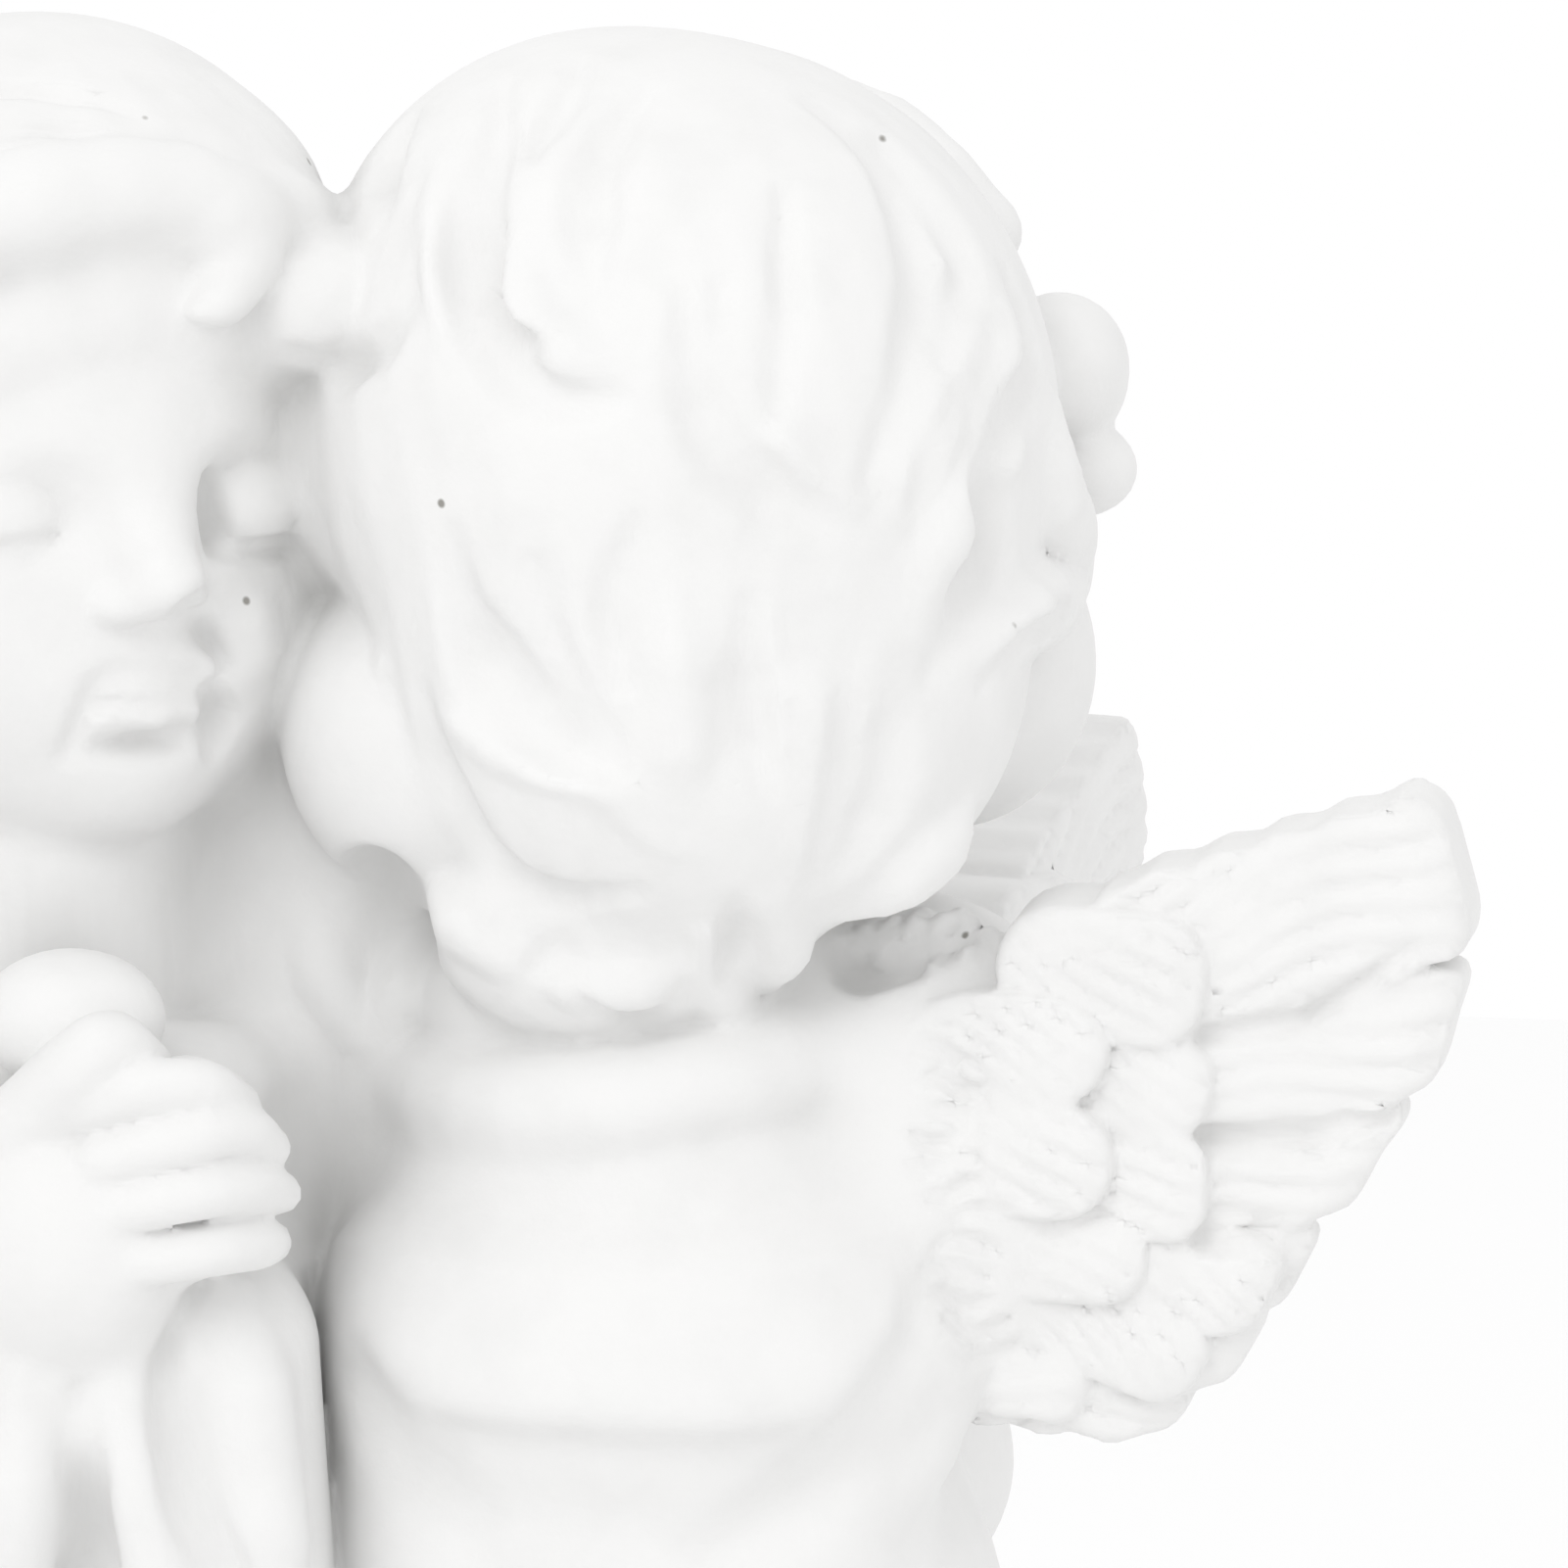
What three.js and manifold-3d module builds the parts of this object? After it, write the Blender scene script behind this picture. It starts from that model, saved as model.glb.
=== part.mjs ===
// A white plaster figurine: two winged children in long gowns, side by side and facing opposite ways with
// folded hands, cast as one with a low oval base. Millimetres, +Z up, origin at the middle of the flat
// underside. The pair has half-turn symmetry about Z: one child, on the +X side, is shaped once and turned
// round for the other, and only the turn of the heads differs. Shapes are added to and carved from blocks of
// clay: grids of distances to the surface, below zero inside. The clay's skin becomes triangles, which are
// then thinned out.
import * as THREE from "three";
import Module from "manifold-3d";

// Driving sizes
const CLAY_STEP = 1;
const CLAY_UNSET = 20;
const PAIR_BLOCK = { low: [-48, -33, -4], high: [48, 33, 121] };
const CHILD_BLOCK = { low: [-10, -33, -4], high: [48, 33, 96] };
const HEAD_BLOCK = { low: [-10, -24, 72], high: [40, 24, 121] };
const SKIN_TRIANGLES = 9600;
const PLASTER = { color: 0xeeedeb, roughness: 0.85, metalness: 0 };

const BASE = { halfLength: 43, halfWidth: 27, top: 6.5, round: 2.2, spare: 2.5 };
const HEAD = { centre: [14, -1.4, 99.3], bow: 6, hairWidth: 15.4, hairDepth: 15.6, hairHeight: 15.8 };
const REAR_HEAD_POSE = { turn: 100, lean: 6 };
const FRONT_HEAD_POSE = { turn: 120, lean: 0 };
const HAIRLINE = { slope: 31, reach: 7.6 };
const EYE = { apart: 5.4, forward: 11, up: 0.6, width: 3.2, depth: 2.6, height: 2.6, lash: -1 };
const COLLAR = { centre: [11.8, -0.5, 75], halfLength: 8, halfWidth: 8.8, thick: 2.3, drop: 0.6, tilt: 1.2 };
const GOWN = { folds: 9, foldDepth: 1.5, top: 66, bottom: 3 };
const SLEEVE_HEM = 43;
const FOOT = { apart: 5.25, middle: 15.75, front: 19.6, up: 8.4, toes: 5, toePitch: 1.15 };
const WING = { root: [22.6, -3.4], turn: -9, drop: 0 };
const FAR_WING = { root: [22.6, 4], turn: 68, drop: 2.2 };
const WING_THICK = 1.2;
const COVERT_LIFT = 1.2;
const VIEW_RISE = 10;
const VIEW_REACH = 60;

const DEGREE = Math.PI / 180;
const CELL = [[0, 0, 0], [1, 0, 0], [1, 1, 0], [0, 1, 0], [0, 0, 1], [1, 0, 1], [1, 1, 1], [0, 1, 1]];

// Small vector and number helpers
const plus = (a, b, t = 1) => [a[0] + b[0] * t, a[1] + b[1] * t, a[2] + b[2] * t];
const dot = (a, b) => a[0] * b[0] + a[1] * b[1] + a[2] * b[2];
const clamp = (v, low, high) => Math.min(high, Math.max(low, v));
const mix = (a, b, t) => a + (b - a) * t;
const along = (axes, [a, b, c]) => plus(plus(axes[0].map((v) => v * a), axes[1], b), axes[2], c);

// A frame with a side (right), a forward and an up axis, for a head or a body part that is turned in plan,
// bowed forward and leant to its left
function makeFrame(centre, turn, bow = 0, lean = 0) {
  const [c, s] = [Math.cos(turn * DEGREE), Math.sin(turn * DEGREE)];
  const [cb, sb] = [Math.cos(bow * DEGREE), Math.sin(bow * DEGREE)];
  const [cl, sl] = [Math.cos(lean * DEGREE), Math.sin(lean * DEGREE)];
  const level = [s, -c, 0];
  const upright = [c * sb, s * sb, cb];
  const side = plus(level.map((v) => v * cl), upright, sl);
  const up = plus(upright.map((v) => v * cl), level, -sl);
  const axes = [side, [c * cb, s * cb, -sb], up];
  return { centre, axes, at: (...place) => plus(centre, along(axes, place)) };
}
const WORLD = makeFrame([0, 0, 0], 90);

// The upright plane in which one child is looked at from slightly above: across, up and out towards the viewer.
// Marks are given in it and laid on whatever surface is seen there.
function makeView(centre, axes) {
  const [c, s] = [Math.cos(VIEW_RISE * DEGREE), Math.sin(VIEW_RISE * DEGREE)];
  const at = (across, up, near) => plus(centre, along(axes, [across, up, (near + up * s) / c]));
  const inward = axes[2].map((v) => -v);
  return {
    at,
    // Points of the clay's surface seen at these places, raised by a lift
    on: (clay, points, lift = 0) =>
      points.map(([a, b]) => plus(clay.touch(at(a, b, VIEW_REACH / 2), inward), axes[2], lift)),
    // The same view of another head as this one is of the first
    moved: (one, other) => {
      const turned = (v) => along(other.axes, one.axes.map((axis) => dot(v, axis)));
      return makeView(plus(other.centre, turned(plus(centre, one.centre, -1))), axes.map(turned));
    },
  };
}
function childView(side) {
  const [c, s] = [Math.cos(VIEW_RISE * DEGREE), Math.sin(VIEW_RISE * DEGREE)];
  return makeView([0, 0, 0], [[side, 0, 0], [0, side * s, c], [0, -side * c, s]]);
}
const BEHIND = childView(1);
const FACING = childView(-1);

// Shapes: each has a lowest and a highest corner and a distance function
function ellipsoid(centre, size, frame = WORLD) {
  const reach = [0, 1, 2].map((i) => Math.hypot(...frame.axes.map((axis, k) => axis[i] * size[k])));
  const distance = (x, y, z) => {
    const offset = [x - centre[0], y - centre[1], z - centre[2]];
    const a = dot(offset, frame.axes[0]) / size[0];
    const b = dot(offset, frame.axes[1]) / size[1];
    const c = dot(offset, frame.axes[2]) / size[2];
    const near = Math.hypot(a, b, c);
    return (near * (near - 1)) / (Math.hypot(a / size[0], b / size[1], c / size[2]) + 1e-9);
  };
  return { low: plus(centre, reach, -1), high: plus(centre, reach), distance };
}

// A rounded bar through points, whose thickness runs evenly between the radii given
function strand(points, radii, smooth = 4) {
  const curve = new THREE.CatmullRomCurve3(points.map((p) => new THREE.Vector3(...p)));
  const count = (points.length - 1) * smooth;
  const stops = [];
  for (let i = 0; i <= count; i++) {
    const place = (i / count) * (radii.length - 1);
    const first = Math.min(Math.floor(place), radii.length - 2);
    stops.push([...curve.getPoint(i / count).toArray(), mix(radii[first], radii[first + 1], place - first)]);
  }
  const thickest = Math.max(...radii);
  const distance = (x, y, z) => {
    let best = Infinity;
    for (let i = 0; i < count; i++) {
      const [a, b] = [stops[i], stops[i + 1]];
      const [ux, uy, uz] = [b[0] - a[0], b[1] - a[1], b[2] - a[2]];
      const [vx, vy, vz] = [x - a[0], y - a[1], z - a[2]];
      const t = clamp((ux * vx + uy * vy + uz * vz) / (ux * ux + uy * uy + uz * uz), 0, 1);
      best = Math.min(best, Math.hypot(vx - ux * t, vy - uy * t, vz - uz * t) - mix(a[3], b[3], t));
    }
    return best;
  };
  const ends = (pick) => [0, 1, 2].map((i) => pick(...stops.map((stop) => stop[i])));
  const [low, high] = [plus(ends(Math.min), [1, 1, 1], -thickest), plus(ends(Math.max), [1, 1, 1], thickest)];
  return { low, high, distance };
}
const limb = (a, b, thickA, thickB) => strand([a, b], [thickA, thickB], 1);

function softMin(a, b, blend) {
  const h = Math.max(blend - Math.abs(a - b), 0) / blend;
  return Math.min(a, b) - h * h * blend * 0.25;
}
const softMax = (a, b, blend) => -softMin(-a, -b, blend);

// A block of clay
class Clay {
  constructor({ low, high }) {
    this.first = low.map((v) => Math.ceil(v / CLAY_STEP));
    this.counts = high.map((v, axis) => Math.floor(v / CLAY_STEP) - this.first[axis] + 1);
    this.values = new Float32Array(this.counts[0] * this.counts[1] * this.counts[2]).fill(CLAY_UNSET);
  }
  index(i, j, k) {
    return (k * this.counts[1] + j) * this.counts[0] + i;
  }
  place(i, j, k) {
    return [i, j, k].map((n, axis) => (this.first[axis] + n) * CLAY_STEP);
  }
  // Runs change(old value, x, y, z) over the part of the grid within reach of a shape
  work(shape, reach, change) {
    const first = shape.low.map((v, a) => Math.max(0, Math.floor((v - reach) / CLAY_STEP) - this.first[a]));
    const last = shape.high.map((v, a) =>
      Math.min(this.counts[a] - 1, Math.ceil((v + reach) / CLAY_STEP) - this.first[a]),
    );
    for (let k = first[2]; k <= last[2]; k++) {
      for (let j = first[1]; j <= last[1]; j++) {
        for (let i = first[0]; i <= last[0]; i++) {
          const n = this.index(i, j, k);
          this.values[n] = change(this.values[n], ...this.place(i, j, k));
        }
      }
    }
  }
  add(shape, blend = 1) {
    this.work(shape, blend + 2 * CLAY_STEP, (old, x, y, z) => softMin(old, shape.distance(x, y, z), blend));
  }
  carve(shape, blend = 0.8) {
    this.work(shape, blend + 2 * CLAY_STEP, (old, x, y, z) => softMax(old, -shape.distance(x, y, z), blend));
  }
  // Adds another block's clay, as it is or after half a turn about Z
  join(other, blend, turned = false) {
    const sign = turned ? -1 : 1;
    for (let k = 0; k < other.counts[2]; k++) {
      for (let j = 0; j < other.counts[1]; j++) {
        for (let i = 0; i < other.counts[0]; i++) {
          const across = sign * (other.first[0] + i) - this.first[0];
          const deep = sign * (other.first[1] + j) - this.first[1];
          const n = this.index(across, deep, other.first[2] + k - this.first[2]);
          this.values[n] = softMin(this.values[n], other.values[other.index(i, j, k)], blend);
        }
      }
    }
  }
  sample(point) {
    const spot = point.map((v, axis) => v / CLAY_STEP - this.first[axis]);
    const cell = spot.map((v, axis) => clamp(Math.floor(v), 0, this.counts[axis] - 2));
    const t = spot.map((v, axis) => clamp(v - cell[axis], 0, 1));
    let sum = 0;
    for (const corner of CELL) {
      const weight = corner.reduce((product, far, axis) => product * (far ? t[axis] : 1 - t[axis]), 1);
      sum += weight * this.values[this.index(...cell.map((n, axis) => n + corner[axis]))];
    }
    return sum;
  }
  // The point where a way from a start outside first meets the surface
  touch(start, way) {
    const step = CLAY_STEP / 2;
    let before = this.sample(start);
    for (let far = step; far < VIEW_REACH; far += step) {
      const now = this.sample(plus(start, way, far));
      if (now < 0) return plus(start, way, far - (step * now) / (now - before));
      before = now;
    }
    return plus(start, way, VIEW_REACH / 2);
  }
}

// The low oval base, with a softly rounded rim and some spare below the underside, which is cut off later
function addBase(clay) {
  const distance = (x, y, z) => {
    const oval = Math.hypot(x / BASE.halfLength, y / BASE.halfWidth);
    const rim = (oval - 1) * BASE.halfWidth + BASE.round;
    const lid = z - BASE.top + BASE.round;
    const slab = Math.hypot(Math.max(rim, 0), Math.max(lid, 0)) + Math.min(Math.max(rim, lid), 0) - BASE.round;
    return Math.max(slab, -BASE.spare - z);
  };
  const low = [-BASE.halfLength, -BASE.halfWidth, -BASE.spare];
  clay.add({ low, high: [BASE.halfLength, BASE.halfWidth, BASE.top], distance }, 0.5);
}

// The long gown: oval sections that widen to the hem, with upright folds
const GOWN_SECTIONS = [
  { z: 3, x: 17, y: -1.5, halfLength: 21.6, halfWidth: 19.4 },
  { z: 24, x: 16.2, y: -1, halfLength: 18.6, halfWidth: 16 },
  { z: 36, x: 15.2, y: -0.6, halfLength: 17, halfWidth: 14.2 },
  { z: 54, x: 12.9, y: 0, halfLength: 13.9, halfWidth: 12.4 },
  { z: 60, x: 12.4, y: 0, halfLength: 12.2, halfWidth: 11.6 },
  { z: 66, x: 12.2, y: 0, halfLength: 11.4, halfWidth: 11 },
];
function gownSection(z) {
  let n = 0;
  while (n < GOWN_SECTIONS.length - 2 && z > GOWN_SECTIONS[n + 1].z) n++;
  const [a, b] = [GOWN_SECTIONS[n], GOWN_SECTIONS[n + 1]];
  const t = clamp((z - a.z) / (b.z - a.z), 0, 1);
  return ["x", "y", "halfLength", "halfWidth"].map((key) => mix(a[key], b[key], t));
}
function addGown(clay) {
  const distance = (x, y, z) => {
    const [cx, cy, halfLength, halfWidth] = gownSection(z);
    const around = Math.atan2(y - cy, x - cx);
    const depth = GOWN.foldDepth * clamp((GOWN.top - 14 - z) / 32, 0, 1);
    const wave = Math.sin(GOWN.folds * around + 0.045 * z) + 0.5 * Math.sin(5 * around - 0.06 * z + 1);
    const oval = Math.hypot((x - cx) / halfLength, (y - cy) / halfWidth);
    const wall = (oval - 1) * halfWidth - depth * 0.6 * wave;
    return Math.max(wall, z - GOWN.top, GOWN.bottom - z);
  };
  clay.add({ low: [-6, -23, GOWN.bottom], high: [44, 23, GOWN.top], distance }, 3);
}

// Bare feet that look out under the hem in front
function addFeet(clay) {
  for (const hand of [-1, 1]) {
    const x = FOOT.middle + FOOT.apart * hand;
    clay.add(limb([x, 14, 9], [x + 0.8 * hand, FOOT.front, FOOT.up], 3.6, 3), 1.5);
    for (let n = 0; n < FOOT.toes; n++) {
      const aside = n - (FOOT.toes - 1) / 2;
      const reach = FOOT.front + 2.4 - 0.35 * Math.abs(aside);
      const toe = [x + 0.8 * hand + FOOT.toePitch * aside, reach, FOOT.up - 0.8];
      clay.add(ellipsoid(toe, [0.75, 1.5, 0.9]), 0.4);
    }
  }
}

// Folds and creases seen on the back of one child and on the front of the other: across and up in the view
const BACK_RIDGES = [
  [[25, 61], [23.4, 57.6], [20.6, 54.4], [17.4, 51.6]],
  [[3.6, 61.6], [6.4, 59.8], [12, 59.2], [18, 59.8], [21.6, 62]],
];
const BACK_CREASES = [
  [[4.6, 57.8], [8.4, 57.2], [14, 56.9], [18.6, 57.5]],
  [[24, 63.4], [22.4, 59.6], [19.2, 56], [15.6, 53.2]],
  [[0.6, 60.8], [2.6, 57.3], [5.8, 54.8]],
  [[2.8, 70.2], [7, 69.6], [12, 69.5], [17, 70.4], [20.4, 72.2]],
];
const FRONT_RIDGES = [
  [[[-12.6, 60.4], [-12.6, 55], [-12.8, 48]], 1.4],
  [[[-8.3, 61.4], [-8, 57], [-6.9, 52.6], [-6, 46]], 1.5],
  [[[-4.2, 64.4], [-3.4, 60], [-2.7, 54], [-2.2, 47]], 1.8],
];
const FRONT_CREASES = [
  [[-10.2, 61.4], [-10, 57.9], [-9.7, 54.8], [-9.3, 50], [-9.6, 44]],
  [[-6.7, 63], [-6.5, 59.1], [-5.7, 55.5], [-4, 52], [-3.8, 47]],
];

// A sleeve that hangs down and ends flat at its hem
function hangingSleeve(whole) {
  const distance = (x, y, z) => softMax(whole.distance(x, y, z), SLEEVE_HEM + 0.12 * (x - 6) - z, 0.8);
  return { low: whole.low, high: whole.high, distance };
}

// Chest, shoulders and the two wide sleeves
function addBody(clay) {
  clay.add(ellipsoid([12.6, 0, 65], [12.4, 11, 12]), 3);
  clay.add(ellipsoid([12.8, -5.6, 64], [12.6, 8.6, 7.4]), 3);
  clay.add(limb([4.6, -5, 64], [4.6, -5.6, 50], 5, 6), 2.5);
  clay.add(ellipsoid([19.5, 7, 68], [6, 6.4, 6]), 3);
  clay.add(limb([21, 9, 65], [21.6, 11, 55], 5.2, 6), 3);
  clay.add(limb([21, 11.5, 55], [11, 10.6, 62], 6, 5), 2);
  clay.add(hangingSleeve(limb([5.4, 9, 64], [6, 9.8, 42], 4.8, 6.8)), 1.5);
  clay.add(ellipsoid([22, 1.5, 69.5], [5, 6, 9]), 2);
  clay.add(ellipsoid([22.6, 1.4, 76], [7, 6.4, 5]), 1.5);
  clay.add(limb([12.6, 0.5, 70], [13.6, 0.5, 90], 7.4, 8), 2);
  for (const points of BACK_RIDGES) clay.add(strand(BEHIND.on(clay, points, -0.9), [0.6, 1.7, 1.7, 0.6]), 2);
  for (const points of BACK_CREASES) clay.carve(strand(BEHIND.on(clay, points, 0.4), [0.2, 1, 1, 0.2]), 1.4);
  for (const [points, thick] of FRONT_RIDGES) {
    clay.add(strand(FACING.on(clay, points, 0.1), [0.5, thick, thick, 0.8]), 1.4);
  }
  for (const points of FRONT_CREASES) {
    clay.carve(strand(FACING.on(clay, points, 0.4), [0.3, 0.9, 0.9, 0.5]), 0.8);
  }
}

// The soft rolled collar round the neck
function addCollar(clay) {
  const points = [];
  for (let i = 0; i <= 12; i++) {
    const angle = i * 30 * DEGREE;
    const [c, s] = [Math.cos(angle), Math.sin(angle)];
    const ring = [COLLAR.halfLength * c, COLLAR.halfWidth * s, COLLAR.drop * s + COLLAR.tilt * c];
    points.push(plus(COLLAR.centre, ring));
  }
  clay.add(ellipsoid(plus(COLLAR.centre, [0, 0, -3]), [9.6, 10, 5]), 2);
  clay.add(ellipsoid(plus(COLLAR.centre, [0, -1.6, 2]), [8.4, 6.6, 5]), 1.5);
  clay.add(strand(points, [COLLAR.thick, COLLAR.thick], 2), 0.8);
}

// Folded hands on the chest, as seen from in front: the back of one, the other above it, a thumb and four
// fingers
const FINGERS = [
  [[-11, 71.2, 15.4], [-7.5, 72.2, 16.6], [-5, 72.3, 16.2], [-3.6, 71.6, 14]],
  [[-9, 69.4, 16.4], [-5.6, 70.3, 17], [-3.5, 70.6, 15.4], [-2.4, 69.8, 13.4]],
  [[-8.6, 67.4, 16.4], [-5.2, 68.1, 17], [-3.1, 68.3, 15.2], [-2, 68, 13.2]],
  [[-8.4, 65.2, 16], [-4.8, 65.8, 16.4], [-3, 66, 14.6], [-2.4, 66, 13]],
];
function addHands(clay) {
  clay.add(ellipsoid(FACING.at(-10.6, 66.4, 13.4), [5, 4.3, 5.8]), 1.2);
  clay.add(ellipsoid(FACING.at(-5.8, 69, 13.6), [3.6, 2.8, 4.6]), 0.8);
  clay.add(ellipsoid(FACING.at(-10.4, 75, 12), [3.8, 3.2, 2.8]), 0.8);
  clay.add(limb(FACING.at(-14, 64, 10), FACING.at(-19, 60, 7), 4.4, 5.4), 2);
  const thumb = [[-12.6, 70.6, 14.8], [-9.9, 73.2, 16.2], [-8.6, 74, 16], [-7.2, 73.2, 15]];
  clay.add(strand(thumb.map((p) => FACING.at(...p)), [1.6, 1.5, 1.4, 1]), 0.4);
  for (const points of FINGERS) {
    clay.add(strand(points.map((p) => FACING.at(...p)), [1.1, 1.1, 1.1, 0.85]), 0.35);
  }
}

// Feathers of one wing in its own plane, long ones first: root and tip along the wing and up, half width at
// both, how blunt the tip is, and the lift off the wing's middle
const FEATHERS = [
  [[10.6, 79], [23.4, 83.9], 4.1, 3.5, 1.6, 0.9],
  [[10.6, 75.2], [23.9, 76.8], 3.1, 2.7, 1.5, 0.6],
  [[10.5, 70.8], [20.8, 70.9], 2.6, 2.5, 1.3, 0.35],
  [[8.5, 66.2], [17.3, 66.6], 2.3, 2.1, 1.2, 0.2],
  [[7, 63.4], [15.4, 63.3], 2.2, 1.9, 1.2, 0.05],
  [[3, 62.2], [12.6, 60.9], 2.1, 1.8, 1.2, -0.1],
  [[6.6, 75.2], [12.9, 74.7], 2.2, 2.3, 1.4, 1.5],
  [[6.8, 70.9], [12.7, 70.5], 2.3, 2.3, 1.2, 1.5],
  [[7.6, 66.2], [16, 66.2], 2.2, 2.2, 1.2, 1.3],
  [[6, 64], [12.7, 62.7], 1.9, 1.8, 1, 1.4],
  [[3.6, 79.6], [12.7, 78.8], 2.5, 2.8, 1.8, 1.9],
  [[3, 67.2], [10.5, 67.5], 2, 1.9, 1.2, 1.9],
  [[0.6, 76.4], [8.5, 76], 2.2, 2.4, 1.6, 2.4],
  [[1.2, 71.9], [9, 71.5], 2.5, 2.6, 1.6, 2.4],
  [[2.4, 62.4], [8.6, 61.4], 1.4, 1.5, 1, 0.8],
];
function addWing(clay, { root, turn, drop }) {
  const [c, s] = [Math.cos(turn * DEGREE), Math.sin(turn * DEGREE)];
  const plan = (u, z, out = 0) => [root[0] + c * u - s * out, root[1] + s * u + c * out, z - drop];
  const frame = makeFrame([0, 0, 0], turn + 90);
  clay.add(ellipsoid(plan(4, 70.6), [9.5, 2.6, 9.6], frame), 2.5);
  clay.add(ellipsoid(plan(0.6, 71), [5, 3.6, 8], frame), 3);
  for (const [base, tip, rootHalf, tipHalf, blunt, lift] of FEATHERS) {
    const length = Math.hypot(tip[0] - base[0], tip[1] - base[1]);
    const [du, dz] = [(tip[0] - base[0]) / length, (tip[1] - base[1]) / length];
    const distance = (x, y, z) => {
      const [dx, dy] = [x - root[0], y - root[1]];
      const [u, v] = [dx * c + dy * s - base[0], z + drop - base[1]];
      const [run, across] = [u * du + v * dz, Math.abs(v * du - u * dz)];
      const t = clamp(run / length, 0, 1);
      const flat = softMax(across - mix(rootHalf, tipHalf, t), Math.max(run - length, -1 - run), 2 * blunt);
      const sunk = lift > COVERT_LIFT ? 0.9 * (1 - t) : 0;
      return softMax(flat, Math.abs(dy * c - dx * s) - WING_THICK - lift + sunk, 0.3);
    };
    const reach = Math.max(rootHalf, tipHalf) + 1;
    const ends = [base, tip].flatMap(([u, z]) => [plan(u, z, -4), plan(u, z, 4)]);
    const bound = (pick) => [0, 1, 2].map((axis) => pick(...ends.map((end) => end[axis])));
    const [low, high] = [plus(bound(Math.min), [1, 1, 1], -reach), plus(bound(Math.max), [1, 1, 1], reach)];
    clay.add({ low, high, distance }, 0.06);
  }
}

// Grooves and locks on the back of the head, as seen on the rear-facing one: path across and up, and thickness
const HAIR_GROOVES = [
  [[[7, 111], [5.9, 107.6], [5.8, 104.4], [6.7, 101.4], [8.9, 99.8], [11.6, 99.4]], 1.2],
  [[[12.2, 111.8], [10.8, 109.4], [10.3, 106.6], [10.6, 103.6]], 1.1],
  [[[14.2, 103], [14.7, 99.4], [16.2, 96.8], [18.2, 95.1], [20.8, 93.6]], 1.2],
  [[[19.6, 111.6], [22.4, 109], [23.6, 106.2], [23.9, 103.4], [23, 100.4], [21.6, 95.6]], 1.1],
  [[[26, 107.4], [27.4, 104], [27.8, 100.6], [27.2, 97.6], [26.4, 94], [25.4, 91], [24, 88.6]], 1.4],
  [[[16.6, 91.8], [16.8, 88.4], [17, 86], [17.5, 83.4]], 0.9],
  [[[5.2, 94.4], [5.4, 90.8], [6.9, 88.2], [9.2, 86.3], [11.8, 84.6], [14, 82.2]], 1.3],
  [[[3.8, 87], [4.1, 84.4], [5.2, 82], [6.9, 80.4], [9.4, 79.8], [11.6, 80.2]], 1.1],
  [[[22.2, 88.8], [22.3, 85.2], [21.4, 82.8], [19.6, 80.6]], 1.2],
  [[[16.2, 80.4], [15.9, 78.2], [16.6, 76.6]], 0.7],
  [[[-1.4, 101.6], [0.4, 101], [2.2, 102], [3.2, 103.8]], 0.8],
];
const HAIR_LOCKS = [
  [[[8.8, 106], [9, 103.4], [10.2, 101.6], [12.4, 101]], 1.6],
  [[[13.8, 106.8], [13.4, 102.4], [13.6, 98.6], [15.2, 95.6]], 1.2],
  [[[26.9, 100.4], [25.7, 96.9], [24.3, 93.6], [23, 90]], 1.6],
  [[[28.8, 100], [28.8, 96], [28.6, 93], [27.4, 90.8], [25.8, 89.4]], 1.8],
  [[[2.4, 89.4], [2.7, 85.4], [3.6, 82], [5, 79.2], [7.4, 77.5], [9.4, 77.9]], 1.2],
  [[[8.8, 76.8], [11.2, 76.2], [13.6, 76.9], [15, 78.8]], 1.2],
  [[[21.6, 90], [21.4, 86.4], [20.4, 83]], 1.1],
  [[[25.2, 83.4], [23.4, 81.2], [20.8, 79.6]], 1.5],
];
// The rolled fringe, its pointed end and the hair beside it, in the head's own frame, with their thickness
const FRINGE = [
  [[[14, 3.6, 7.4], [11, 8.8, 11.2], [5, 11.4, 13.2], [-1, 12, 13.4], [-4.4, 12.2, 12.2]], [1.8, 2.3, 1.7]],
  [[[-3.4, 12.6, 12.4], [-4, 13, 10.8], [-3, 13.6, 9.4], [-1.8, 13.8, 8.9]], [1.7, 1.6, 1.2, 0.5]],
  [[[-4, 12, 12.4], [-7.6, 10.4, 11.6], [-11, 8, 9.6], [-13.4, 5, 7.4]], [1.4, 1.5, 1.5, 1.4]],
];
// Lobes of curled hair at the temples: place and size
const CURLS = [
  [[-14.2, -1.2, 8.4], [3.8, 4.6, 3.2]],
  [[-13.8, 2, 1.6], [2.6, 4, 4.6]],
  [[16.6, 3, 1.4], [2.8, 3.8, 3.2]],
  [[16.9, 3.4, -2.8], [2.4, 3.2, 2]],
];

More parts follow.
